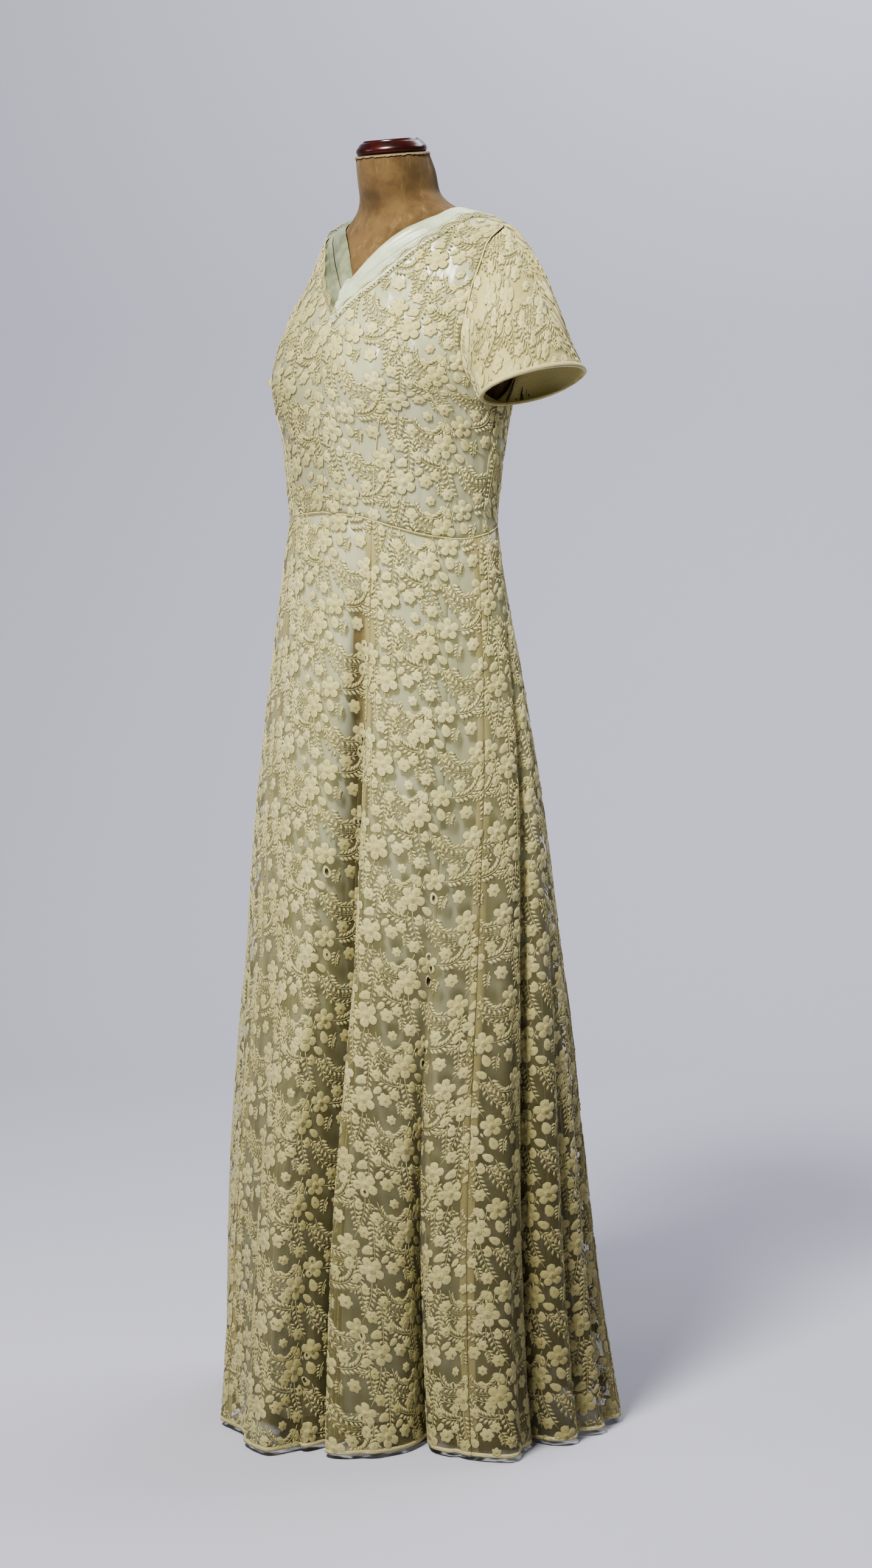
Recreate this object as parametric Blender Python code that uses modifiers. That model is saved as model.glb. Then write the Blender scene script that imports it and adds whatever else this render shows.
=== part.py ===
"""A floor-length gown of flower lace over a satin lining, with crossed satin neck bands, short
flared sleeves and a skirt of six gores, standing on a limbless padded dress form.

Metres, +Z up. The front faces -Y and the wearer's left is +X. The origin is on the floor, in the
middle of the stand's base. Cloth is laid over one body surface, which is read from sections."""

import math
from collections import namedtuple

import bmesh
import bpy
import numpy as np

# Cloth and seams
LACE_WALL = 0.0012
LINING_WALL = 0.0010
BAND_WALL = 0.0024
SEAM_GAP = 0.0003
WAIST_SEAM_GAP = 0.0006
LINING_OUT = 0.0
LACE_OUT = LINING_WALL + SEAM_GAP

# The stand and the neck cap
BASE_RADIUS = 0.105
BASE_EDGE = 0.010
BASE_TOP = 0.042
COLLAR_RADIUS = 0.026
POLE_RADIUS = 0.015
FORM_BOTTOM = 0.780
NECK_TOP = 1.462
NECK_SLOPE = 0.106
NECK_SLOPE_FROM = 1.415
CAP_RADIUS = 0.0405
CAP_TOP_RADIUS = 0.0315
CAP_HEIGHT = 0.0165

# The waist seam and the bust
WAIST = 1.045
WAIST_EASE_TOP = 1.130
CUP_SPACING = 0.078
CUP_HEIGHT = 1.213
CUP_SPREAD = 0.040
CUP_DEPTH = 0.018
FORM_CUP_SHARE = 0.75

# How the body is rounded at each height: half width and the reach to the front and back (Y), the Y of
# its widest place, and the exponent of its front and back curve, where 2 is an ellipse.
Section = namedtuple("Section", "height half_width front back side front_round back_round")
BODY = [
    Section(0.780, 0.158, -0.110, 0.106, 0.016, 2.0, 2.0),
    Section(0.840, 0.160, -0.112, 0.107, 0.016, 2.0, 2.0),
    Section(0.900, 0.158, -0.1125, 0.103, 0.014, 2.0, 2.0),
    Section(0.960, 0.1520, -0.1100, 0.0940, 0.012, 2.0, 2.0),
    Section(1.000, 0.1455, -0.1075, 0.0885, 0.012, 2.0, 2.0),
    Section(1.045, 0.1365, -0.1035, 0.0895, 0.012, 2.0, 2.0),
    Section(1.100, 0.1390, -0.1105, 0.0925, 0.016, 2.0, 2.05),
    Section(1.140, 0.1420, -0.1130, 0.0965, 0.020, 2.0, 2.1),
    Section(1.168, 0.1450, -0.1150, 0.0985, 0.022, 2.0, 2.2),
    Section(1.200, 0.1500, -0.1130, 0.1010, 0.026, 2.0, 2.3),
    Section(1.230, 0.1540, -0.1080, 0.1040, 0.031, 1.95, 2.4),
    Section(1.265, 0.1580, -0.0990, 0.1060, 0.038, 1.85, 2.5),
    Section(1.295, 0.1590, -0.0870, 0.1070, 0.045, 1.72, 2.5),
    Section(1.325, 0.1570, -0.0730, 0.1070, 0.050, 1.62, 2.4),
    Section(1.355, 0.1510, -0.0580, 0.1050, 0.052, 1.60, 2.3),
    Section(1.370, 0.1400, -0.0500, 0.1030, 0.052, 1.60, 2.2),
    Section(1.380, 0.1210, -0.0440, 0.1000, 0.050, 1.62, 2.15),
    Section(1.390, 0.0930, -0.0380, 0.0940, 0.042, 1.75, 2.0),
    Section(1.398, 0.0720, -0.0350, 0.0840, 0.031, 1.9, 2.0),
    Section(1.408, 0.0560, -0.0340, 0.0695, 0.019, 2.0, 2.0),
    Section(1.420, 0.0480, -0.0370, 0.0600, 0.0115, 2.0, 2.0),
    Section(1.440, 0.0465, -0.0400, 0.0540, 0.0065, 2.0, 2.0),
    Section(1.462, 0.0430, -0.0430, 0.0430, 0.0, 2.0, 2.0),
]

# The skirt's inner surface over the ridges of its folds.
SKIRT = [
    Section(0.000, 0.2535, -0.1665, 0.2450, 0.053, 2.0, 2.0),
    Section(0.080, 0.2475, -0.1665, 0.2265, 0.046, 2.0, 2.0),
    Section(0.140, 0.2435, -0.1665, 0.2125, 0.041, 2.0, 2.0),
    Section(0.220, 0.2375, -0.1665, 0.2005, 0.036, 2.0, 2.0),
    Section(0.300, 0.2315, -0.1645, 0.1915, 0.032, 2.0, 2.0),
    Section(0.380, 0.2245, -0.1595, 0.1835, 0.029, 2.0, 2.0),
    Section(0.460, 0.2175, -0.1535, 0.1775, 0.026, 2.0, 2.0),
    Section(0.540, 0.2085, -0.1450, 0.1655, 0.024, 2.0, 2.0),
    Section(0.620, 0.2005, -0.1420, 0.1545, 0.022, 2.0, 2.0),
    Section(0.700, 0.1925, -0.1365, 0.1445, 0.020, 2.0, 2.0),
    Section(0.780, 0.1825, -0.1280, 0.1285, 0.018, 2.0, 2.0),
    Section(0.840, 0.1735, -0.1225, 0.1175, 0.016, 2.0, 2.0),
    Section(0.900, 0.1635, -0.1160, 0.1065, 0.014, 2.0, 2.0),
    Section(0.960, 0.1525, -0.1105, 0.0945, 0.012, 2.0, 2.0),
    Section(1.000, 0.1455, -0.1075, 0.0885, 0.012, 2.0, 2.0),
    Section(1.045, 0.1365, -0.1035, 0.0895, 0.012, 2.0, 2.0),
    Section(1.060, 0.1365, -0.1045, 0.0900, 0.013, 2.0, 2.0),
]

# How far the padded form lies inside the cloth.
FormRoom = namedtuple("FormRoom", "height room")
FORM_ROOM = [
    FormRoom(0.780, 0.0060),
    FormRoom(1.000, 0.0050),
    FormRoom(1.045, 0.0028),
    FormRoom(1.310, 0.0028),
    FormRoom(1.350, 0.0080),
    FormRoom(1.365, 0.0100),
    FormRoom(1.382, 0.0090),
    FormRoom(1.398, 0.0050),
    FormRoom(1.415, 0.0022),
    FormRoom(1.462, 0.0015),
]

# Where the middle of the front runs, in degrees round the body: the front closes a little to the
# wearer's left.
CentreFront = namedtuple("CentreFront", "height turn")
CENTRE_FRONT = [
    CentreFront(1.045, 1.5),
    CentreFront(1.060, 1.5),
    CentreFront(1.100, 4.0),
    CentreFront(1.150, 5.0),
    CentreFront(1.400, 5.0),
]

# The neckline round each side, by quarter: 0 is the middle of the front, 90 the shoulder and 180 the
# middle of the back. Heights of the opening, of the fold between the two bands and of the lace's edge.
Neckline = namedtuple("Neckline", "quarter opening fold lace")
NECKLINE = [
    Neckline(0.0, 1.3190, 1.2940, 1.2680),
    Neckline(5.0, 1.3390, 1.3120, 1.2830),
    Neckline(10.0, 1.3540, 1.3260, 1.2960),
    Neckline(16.0, 1.3660, 1.3390, 1.3100),
    Neckline(24.0, 1.3755, 1.3540, 1.3320),
    Neckline(32.0, 1.3805, 1.3640, 1.3480),
    Neckline(42.0, 1.3855, 1.3725, 1.3610),
    Neckline(56.0, 1.3905, 1.3815, 1.3740),
    Neckline(70.0, 1.3950, 1.3885, 1.3825),
    Neckline(80.0, 1.3975, 1.3910, 1.3860),
    Neckline(90.0, 1.3985, 1.3920, 1.3864),
    Neckline(120.0, 1.3975, 1.3890, 1.3820),
    Neckline(150.0, 1.3930, 1.3830, 1.3740),
    Neckline(180.0, 1.3900, 1.3790, 1.3690),
]

# The armhole's front and back edge, in the same quarters.
Armhole = namedtuple("Armhole", "height front back")
ARMHOLE = [
    Armhole(1.177, 90.0, 90.0),
    Armhole(1.190, 79.0, 103.0),
    Armhole(1.206, 72.0, 110.0),
    Armhole(1.228, 67.0, 115.0),
    Armhole(1.260, 63.5, 118.0),
    Armhole(1.300, 63.0, 117.5),
    Armhole(1.330, 66.0, 114.0),
    Armhole(1.355, 70.0, 109.0),
    Armhole(1.3644, 75.0, 104.0),
    Armhole(1.377, 90.0, 90.0),
]

# The waist seam's height round the body.
WaistSeam = namedtuple("WaistSeam", "quarter height")
WAIST_SEAM = [
    WaistSeam(0.0, 1.0570),
    WaistSeam(20.0, 1.0530),
    WaistSeam(40.0, 1.0410),
    WaistSeam(58.0, 1.0310),
    WaistSeam(75.0, 1.0270),
    WaistSeam(92.0, 1.0320),
    WaistSeam(115.0, 1.0400),
    WaistSeam(145.0, 1.0450),
    WaistSeam(180.0, 1.0470),
]

# A thread of the skirt that hangs at one angle at the hem starts at another angle at the waist.
Swing = namedtuple("Swing", "hem waist")
SWING = [
    Swing(-180.0, -180.0),
    Swing(-122.0, -140.0),
    Swing(-56.0, -86.0),
    Swing(-15.0, -29.0),
    Swing(0.0, -4.0),
    Swing(17.6, 29.0),
    Swing(56.0, 86.0),
    Swing(122.0, 140.0),
    Swing(180.0, 180.0),
]
SWING_EASE = 1.7

# The skirt's ripples, a row for each ridge and valley: the angle at the hem, how far out it stands
# there from the plain sections, and the height that it starts from.
Ripple = namedtuple("Ripple", "hem out top")
RIPPLES = [
    Ripple(-180.0, -0.028, 0.84),
    Ripple(-169.0, 0.006, 0.80),
    Ripple(-157.0, -0.030, 0.88),
    Ripple(-145.0, 0.004, 0.80),
    Ripple(-133.0, -0.026, 0.66),
    Ripple(-121.0, 0.006, 0.80),
    Ripple(-109.0, -0.032, 0.90),
    Ripple(-98.0, 0.006, 0.80),
    Ripple(-86.0, -0.022, 0.62),
    Ripple(-75.0, 0.006, 0.80),
    Ripple(-64.0, -0.030, 0.86),
    Ripple(-50.0, 0.002, 0.80),
    Ripple(-37.0, 0.000, 0.80),
    Ripple(-28.0, -0.006, 0.62),
    Ripple(-18.0, 0.034, 0.62),
    Ripple(-9.0, 0.032, 0.70),
    Ripple(1.0, 0.060, 0.70),
    Ripple(8.0, 0.068, 0.74),
    Ripple(10.8, 0.030, 0.52),
    Ripple(13.2, 0.054, 0.60),
    Ripple(16.0, -0.002, 0.99),
    Ripple(18.8, 0.034, 0.80),
    Ripple(28.0, 0.020, 0.70),
    Ripple(35.5, -0.016, 0.60),
    Ripple(40.5, -0.050, 0.60),
    Ripple(45.5, -0.022, 0.60),
    Ripple(55.0, 0.002, 0.70),
    Ripple(66.0, 0.020, 0.70),
    Ripple(71.5, -0.012, 0.80),
    Ripple(80.0, -0.026, 0.96),
    Ripple(90.0, -0.008, 0.80),
    Ripple(99.0, -0.022, 0.66),
    Ripple(108.0, -0.004, 0.80),
    Ripple(115.0, -0.018, 0.80),
    Ripple(123.0, 0.004, 0.80),
    Ripple(137.0, 0.004, 0.80),
    Ripple(149.0, -0.028, 0.66),
    Ripple(160.0, 0.006, 0.80),
    Ripple(171.0, -0.012, 0.72),
    Ripple(180.0, -0.028, 0.84),
]
RIPPLE_GROWTH = 1.25

# Hem heights round the skirt, and how far the slip hangs inside the lace from the waist down.
Hem = namedtuple("Hem", "angle lace slip")
HEM = [
    Hem(-180.0, 0.008, 0.052),
    Hem(-90.0, 0.008, 0.048),
    Hem(-30.0, 0.007, 0.042),
    Hem(0.0, 0.006, 0.036),
    Hem(25.0, 0.006, 0.034),
    Hem(60.0, 0.006, 0.046),
    Hem(100.0, 0.007, 0.056),
    Hem(180.0, 0.008, 0.052),
]
SlipRoom = namedtuple("SlipRoom", "drop room")
SLIP_ROOM = [
    SlipRoom(0.00, 0.0004),
    SlipRoom(0.06, 0.0014),
    SlipRoom(0.20, 0.0040),
    SlipRoom(0.45, 0.0090),
    SlipRoom(0.75, 0.0150),
    SlipRoom(1.00, 0.0210),
]
SLIP_RIPPLE_SHARE = 0.8

GORES = [
    ("skirt_front", -15.0, 17.6),
    ("skirt_side_front_left", 17.6, 56.0),
    ("skirt_side_back_left", 56.0, 122.0),
    ("skirt_back", 122.0, 238.0),
    ("skirt_side_back_right", 238.0, 304.0),
    ("skirt_side_front_right", 304.0, 345.0),
]
SLIP_PANELS = [
    ("slip_front", -42.0, 42.0),
    ("slip_side_left", 42.0, 112.0),
    ("slip_back_left", 112.0, 160.0),
    ("slip_back", 160.0, 215.0),
    ("slip_back_right", 215.0, 262.0),
    ("slip_side_right", 262.0, 318.0),
]
SKIRT_ROWS = [0.0, 0.07, 0.16, 0.27, 0.39, 0.51, 0.63, 0.75, 0.85, 0.92, 0.965, 1.0]
SLIP_ROWS = [0.0, 0.12, 0.27, 0.43, 0.59, 0.74, 0.86, 0.94, 1.0]
RIPPLE_COLUMNS = (0.0, 0.33, 0.67)
SLIP_RIPPLE_COLUMNS = (0.0,)
NARROWEST = 1.2
WIDEST_AT_HEM = 11.0
WIDEST_AT_WAIST = 14.0

# Heights of the bodice's rows. The last ones climb to the neckline, which is lower at the back.
BODICE_ROWS = [
    1.045, 1.085, 1.130, 1.177, 1.190, 1.206, 1.235, 1.268, 1.290, 1.310, 1.330, 1.350,
]
CLIMB_FROM = 1.350
CLIMB_TO = 1.386
CLIMB_STEPS = [0.40, 0.75, 1.0]
FRONT_COLUMNS = 8
BACK_COLUMNS = 16
SHOULDER_TAB = 80.0

# The sleeves: the cuff's middle and half widths, how the cuff's plane leans, and the reach of the
# curve that leaves the armhole and of the one that meets the cuff.
Sleeve = namedtuple("Sleeve", "side cuff_x cuff_y cuff_z half_x half_y lean_x lean_y leave meet")
SLEEVES = [
    Sleeve(1, 0.195, 0.037, 1.1985, 0.037, 0.070, 0.505, 0.083, 0.036, 0.044),
    Sleeve(-1, 0.185, 0.042, 1.2000, 0.023, 0.067, 0.505, 0.0, 0.044, 0.044),
]
# Which way a sleeve's top leaves the armhole and meets the cuff: out from the body, to the front or
# back, and down.
SleeveWay = namedtuple("SleeveWay", "out spread down")
LEAVING = SleeveWay(0.78, 0.35, 0.55)
MEETING = SleeveWay(0.40, 0.22, 0.95)
SLEEVE_ROWS = 4
SLEEVE_STACK = LACE_OUT + LACE_WALL
ROOT_CLEARANCE = 0.0006
REACH_SHARE = 0.36

# Round steps of the turned and padded pieces
TURN_STEPS = 32
POLE_STEPS = 16
FORM_COLUMNS = 36
FORM_ROWS = [
    0.780, 0.850, 0.930, 1.000, 1.045, 1.085, 1.130, 1.170, 1.205, 1.240, 1.280, 1.315, 1.343,
    1.360, 1.371, 1.380, 1.387, 1.393, 1.400, 1.410, 1.425, 1.443, 1.462,
]


def read_smoothly(places, values, place):
    """Reads a table along a smooth curve that never overshoots its rows."""
    places = np.asarray(places, float)
    values = np.asarray(values, float)
    place = np.clip(place, places[0], places[-1])
    steps = np.diff(places)
    rises = np.diff(values) / steps
    slopes = np.concatenate([rises[:1], np.zeros(len(rises) - 1), rises[-1:]])
    same_way = rises[:-1] * rises[1:] > 0
    safe = np.where(rises == 0.0, 1.0, rises)
    first = 2.0 * steps[1:] + steps[:-1]
    second = steps[1:] + 2.0 * steps[:-1]
    spread = np.where(same_way, first / safe[:-1] + second / safe[1:], 1.0)
    slopes[1:-1] = np.where(same_way, (first + second) / spread, 0.0)
    row = np.clip(np.searchsorted(places, place, side="right") - 1, 0, len(steps) - 1)
    step = steps[row]
    t = (place - places[row]) / step
    start = values[row] * (1 + 2 * t) * (1 - t) ** 2 + step * slopes[row] * t * (1 - t) ** 2
    end = values[row + 1] * t * t * (3 - 2 * t) + step * slopes[row + 1] * t * t * (t - 1)
    return start + end


def column(table, key, value, place):
    """One named column of a table, read at places of its key column."""
    return read_smoothly([getattr(r, key) for r in table], [getattr(r, value) for r in table], place)


def section_point(table, angle, height, cup_share=0.0):
    """A point of a rounded section. The angle is in degrees from the front to the wearer's left."""
    turn = np.radians(angle)
    across = np.sin(turn)
    ahead = np.cos(turn)
    half_width = column(table, "height", "half_width", height)
    side = column(table, "height", "side", height)
    front = side - column(table, "height", "front", height)
    back = column(table, "height", "back", height) - side
    front_round = column(table, "height", "front_round", height)
    back_round = column(table, "height", "back_round", height)
    power = np.where(ahead >= 0, front_round, back_round)
    reach = (np.abs(across) ** power + np.abs(ahead) ** power) ** (-1 / power)
    x = half_width * reach * across
    y = side - np.where(ahead >= 0, front, back) * reach * ahead
    off_cup = (np.abs(x) - CUP_SPACING) ** 2 + (height - CUP_HEIGHT) ** 2
    cup = CUP_DEPTH * np.exp(-off_cup / (2 * CUP_SPREAD**2)) * np.clip(3 * ahead, 0, 1)
    return np.stack([x, y - cup_share * cup, height + 0 * x], -1)


def body_point(angle, height, out=0.0, cup_share=1.0):
    """A point on the body surface, moved out along its normal."""
    angle, height = np.broadcast_arrays(np.asarray(angle, float), np.asarray(height, float))
    turn = 0.5
    rise = 0.001
    point = section_point(BODY, angle, height, cup_share)
    round_way = section_point(BODY, angle + turn, height, cup_share)
    round_way = round_way - section_point(BODY, angle - turn, height, cup_share)
    up_way = section_point(BODY, angle, height + rise, cup_share)
    up_way = up_way - section_point(BODY, angle, height - rise, cup_share)
    normal = np.cross(round_way, up_way)
    normal = normal / np.linalg.norm(normal, axis=-1, keepdims=True)
    return point + normal * np.asarray(out)[..., None]


def angle_of(quarter, height, side):
    """The angle round the body of a quarter, 0 to 180, on the left (1) or the right (-1)."""
    middle = column(CENTRE_FRONT, "height", "turn", height)
    share = np.clip(np.asarray(quarter, float) / 90.0, 0.0, 1.0)
    past = np.maximum(np.asarray(quarter, float) - 90.0, 0.0)
    return side * (past + 90.0 * share) + middle * (1.0 - share)


def waist_height(quarter):
    return column(WAIST_SEAM, "quarter", "height", np.abs(quarter))


def wrap_angle(angle):
    """The same angle between -180 and 180 degrees."""
    return angle - 360.0 * np.round(np.asarray(angle, float) / 360.0)


def swung_angle(hem_angle, drop):
    """The angle of a skirt thread at a drop of 0 at the waist to 1 at the hem."""
    thread = wrap_angle(hem_angle)
    at_waist = column(SWING, "hem", "waist", thread)
    share = 1.0 - (1.0 - np.clip(drop, 0.0, 1.0)) ** SWING_EASE
    return at_waist + (thread - at_waist) * share + (hem_angle - thread)


def ripple_out(hem_angle, height):
    """How far a thread stands out from the plain skirt at a height."""
    thread = wrap_angle(hem_angle)
    top = column(RIPPLES, "hem", "top", thread)
    fall = np.clip((top - height) / top, 0.0, 1.0)
    return column(RIPPLES, "hem", "out", thread) * fall**RIPPLE_GROWTH


def skirt_point(hem_angle, height, inward, ripple_share=1.0):
    """A point of the skirt on a thread, moved in from its plain section and out with its ripple."""
    drop = (WAIST - height) / WAIST
    angle = swung_angle(hem_angle, drop)
    turn = 0.5
    point = section_point(SKIRT, angle, height)
    round_way = section_point(SKIRT, angle + turn, height) - section_point(SKIRT, angle - turn, height)
    outward = np.stack([round_way[..., 1], -round_way[..., 0], np.zeros(point.shape[:-1])], -1)
    outward = outward / np.linalg.norm(outward, axis=-1, keepdims=True)
    out = ripple_out(hem_angle, height) * ripple_share - inward
    return point + outward * out[..., None]


def material(name, colour, roughness, metallic=0.0):
    finish = bpy.data.materials.new(name)
    finish.use_nodes = True
    shader = finish.node_tree.nodes["Principled BSDF"]
    shader.inputs["Base Color"].default_value = (*colour, 1.0)
    shader.inputs["Roughness"].default_value = roughness
    shader.inputs["Metallic"].default_value = metallic
    return finish


def add_piece(name, bm, finish):
    """Makes an object of a bmesh, in the gown's collection."""
    mesh = bpy.data.meshes.new(name)
    bm.to_mesh(mesh)
    bm.free()
    mesh.shade_smooth()
    piece = bpy.data.objects.new(name, mesh)
    piece.data.materials.append(finish)
    bpy.data.collections[GOWN].objects.link(piece)
    return piece


def lay_cloth(name, columns, rows, place, wall, finish, wrapped=False):
    """Lays a grid of cloth by place(u, v), with u and v as shares of its columns and rows, and
    thickens it outwards."""
    bm = bmesh.new()
    bmesh.ops.create_grid(bm, x_segments=columns, y_segments=rows, size=1.0)
    bm.verts.ensure_lookup_table()
    u = np.array([(v.co.x + 1.0) / 2.0 for v in bm.verts])
    v = np.array([(w.co.y + 1.0) / 2.0 for w in bm.verts])
    points = place(u, v)
    for vertex, point in zip(bm.verts, points):
        vertex.co = point
    if wrapped:
        bmesh.ops.remove_doubles(bm, verts=bm.verts, dist=1e-5)
    piece = add_piece(name, bm, finish)
    thick = piece.modifiers.new("Wall", "SOLIDIFY")
    thick.thickness = wall
    thick.offset = 1.0
    thick.use_even_offset = False
    return piece


def turned_piece(name, profile, centre, tilt, finish, steps=TURN_STEPS):
    """Turns a profile of (radius, height) points, listed from the top down, about the Z axis."""
    bm = bmesh.new()
    last = None
    for radius, height in profile:
        vertex = bm.verts.new((radius, 0.0, height))
        if last is not None:
            bm.edges.new((last, vertex))
        last = vertex
    piece = add_piece(name, bm, finish)
    piece.location = centre
    piece.rotation_euler.x = tilt
    turning = piece.modifiers.new("Turning", "SCREW")
    turning.steps = steps
    turning.render_steps = steps
    turning.use_merge_vertices = True
    turning.merge_threshold = 1e-5
    return piece


def nth(values, share):
    """Picks from a list of evenly numbered values by shares of 0 to 1."""
    index = np.rint(np.asarray(share) * (len(values) - 1)).astype(int)
    return np.asarray(values, float)[index]


def neck_edge(key, quarter):
    return column(NECKLINE, "quarter", key, quarter)


def lace_edge_quarter(height):
    """The quarter at which the lace's neck edge in front has a height."""
    rows = [r for r in NECKLINE if r.quarter <= 90.0]
    quarters = np.linspace(0.0, 90.0, 361)
    heights = read_smoothly([r.quarter for r in rows], [r.lace for r in rows], quarters)
    return np.interp(height, heights, quarters)


def bodice_heights():
    climb = [CLIMB_FROM + (CLIMB_TO - CLIMB_FROM) * step for step in CLIMB_STEPS]
    return np.array(BODICE_ROWS + climb)


def ease_to_waist(angle, height):
    """Lets the lowest rows follow the waist seam."""
    ease = np.clip((WAIST_EASE_TOP - height) / (WAIST_EASE_TOP - WAIST), 0.0, 1.0)
    quarter = np.where(np.abs(angle) > 180.0, 360.0 - np.abs(angle), np.abs(angle))
    return height + (waist_height(quarter) + WAIST_SEAM_GAP - WAIST) * ease


def armhole_edge(key, height):
    """The armhole's edge, or the side and shoulder seam above and below it."""
    inside = (height >= ARMHOLE[0].height - 1e-6) & (height <= ARMHOLE[-1].height + 1e-6)
    return np.where(inside, column(ARMHOLE, "height", key, height), 90.0)


def seam_turn(radius):
    """Half a seam gap as degrees round a radius."""
    return math.degrees(SEAM_GAP / 2.0 / radius)


def front_place(side, out):
    heights = bodice_heights()
    seam = seam_turn(CUP_SPACING * 1.3)

    def place(u, v):
        height = nth(heights, v)
        inner = np.where(height > NECKLINE[0].lace, lace_edge_quarter(height), 0.0)
        inner = np.where(height >= CLIMB_TO - 1e-6, SHOULDER_TAB, inner) + seam
        outer = armhole_edge("front", height) - seam
        share = u if side > 0 else 1.0 - u
        quarter = inner + (outer - inner) * share
        tall = ease_to_waist(angle_of(quarter, height, side), height)
        return body_point(angle_of(quarter, tall, side), tall, out)

    return place


def back_place(out):
    heights = bodice_heights()
    seam = seam_turn(CUP_SPACING * 1.3)

    def place(u, v):
        height = nth(heights, v)
        edge = armhole_edge("back", height) + seam
        round_way = edge + (360.0 - 2.0 * edge) * u
        quarter = np.where(round_way > 180.0, 360.0 - round_way, round_way)
        climb = np.clip((height - CLIMB_FROM) / (CLIMB_TO - CLIMB_FROM), 0.0, 1.0)
        top = neck_edge("lace", quarter)
        tall = np.where(climb > 0.0, CLIMB_FROM + (top - CLIMB_FROM) * climb, height)
        tall = ease_to_waist(round_way, tall)
        return body_point(round_way, tall, out)

    return place


def make_bodice(lace, lining):
    rows = len(bodice_heights()) - 1
    for side, word in ((1, "left"), (-1, "right")):
        inside = front_place(side, LINING_OUT)
        outside = front_place(side, LACE_OUT)
        lay_cloth(f"bodice_lining_front_{word}", FRONT_COLUMNS, rows, inside, LINING_WALL, lining)
        lay_cloth(f"bodice_lace_front_{word}", FRONT_COLUMNS, rows, outside, LACE_WALL, lace)
    inside = back_place(LINING_OUT)
    outside = back_place(LACE_OUT)
    lay_cloth("bodice_lining_back", BACK_COLUMNS, rows, inside, LINING_WALL, lining)
    lay_cloth("bodice_lace_back", BACK_COLUMNS, rows, outside, LACE_WALL, lace)


def band_quarters():
    """The stations of a neck band, which are the corners of the lace that it meets."""
    heights = bodice_heights()
    front = lace_edge_quarter(heights[heights >= NECKLINE[0].lace - 1e-6])
    front[-1] = SHOULDER_TAB
    back = np.linspace(90.0, 180.0, BACK_COLUMNS // 2 + 1)
    return np.concatenate([front, back])


def band_place(side, upper, lower):
    quarters = band_quarters()
    middle_gap = seam_turn(0.06)
    lift = SEAM_GAP

    def place(u, v):
        share = u if side > 0 else 1.0 - u
        quarter = np.clip(nth(quarters, share), middle_gap, 180.0 - middle_gap)
        low = neck_edge(lower, quarter) + lift
        high = neck_edge(upper, quarter)
        height = low + (high - low) * v
        return body_point(angle_of(quarter, height, side), height, LINING_OUT)

    return place


def make_neck_bands(satin):
    columns = len(band_quarters()) - 1
    for side, word in ((1, "left"), (-1, "right")):
        wide = band_place(side, "fold", "lace")
        narrow = band_place(side, "opening", "fold")
        lay_cloth(f"neck_band_outer_{word}", columns, 1, wide, BAND_WALL, satin)
        lay_cloth(f"neck_band_inner_{word}", columns, 1, narrow, BAND_WALL, satin)


def armhole_loop(side):
    """The armhole's corners, from the shoulder down its front and up its back, and the directions
    there: out from the body, and inward to the middle of the hole."""
    heights = bodice_heights()
    low = ARMHOLE[0].height - 1e-6
    high = ARMHOLE[-1].height + 1e-6
    reach = heights[(heights >= low) & (heights <= high)]
    front = armhole_edge("front", reach)
    back = armhole_edge("back", reach)
    quarters = np.concatenate([front[::-1], back[1:-1]])
    tall = np.concatenate([reach[::-1], reach[1:-1]])
    angles = angle_of(quarters, tall, side)
    rim = body_point(angles, tall)
    outward = body_point(angles, tall, 0.001) - rim
    outward = outward / np.linalg.norm(outward, axis=-1, keepdims=True)
    ahead = np.cross(outward, np.roll(rim, -1, axis=0) - rim)
    behind = np.cross(outward, rim - np.roll(rim, 1, axis=0))
    ahead = ahead / np.linalg.norm(ahead, axis=-1, keepdims=True)
    behind = behind / np.linalg.norm(behind, axis=-1, keepdims=True)
    inward = ahead + behind
    inward = inward / np.linalg.norm(inward, axis=-1, keepdims=True)
    mitre = 1.0 / np.clip(np.sum(inward * ahead, axis=-1), 0.5, 1.0)
    inward = inward * np.sign(np.sum(inward * (rim.mean(axis=0) - rim), axis=-1).mean())
    return rim, outward, inward, mitre


def tube_normals(wall):
    """Outward normals of the corners of a tube's rings, each the mean of its faces' normals."""
    next_spoke = np.roll(wall, -1, axis=1)
    slant_one = next_spoke[1:] - wall[:-1]
    slant_two = wall[1:] - next_spoke[:-1]
    faces = np.cross(slant_one, slant_two)
    faces = faces / np.linalg.norm(faces, axis=-1, keepdims=True)
    faces = faces + np.roll(faces, 1, axis=1)
    normal = np.concatenate([faces[:1], faces[1:] + faces[:-1], faces[-1:]])
    normal = normal / np.linalg.norm(normal, axis=-1, keepdims=True)
    middle = wall.mean(axis=1, keepdims=True)
    return normal * np.sign(np.sum(normal * (wall - middle), axis=-1).mean())


def sleeve_way(way, side, over, turn):
    """A sleeve's direction round its tube, as a unit vector."""
    out = side * (1.0 - (1.0 - way.out) * over)
    towards = np.stack([out, way.spread * np.sin(turn), -way.down * over], -1)
    return towards / np.linalg.norm(towards, axis=-1, keepdims=True)


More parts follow.
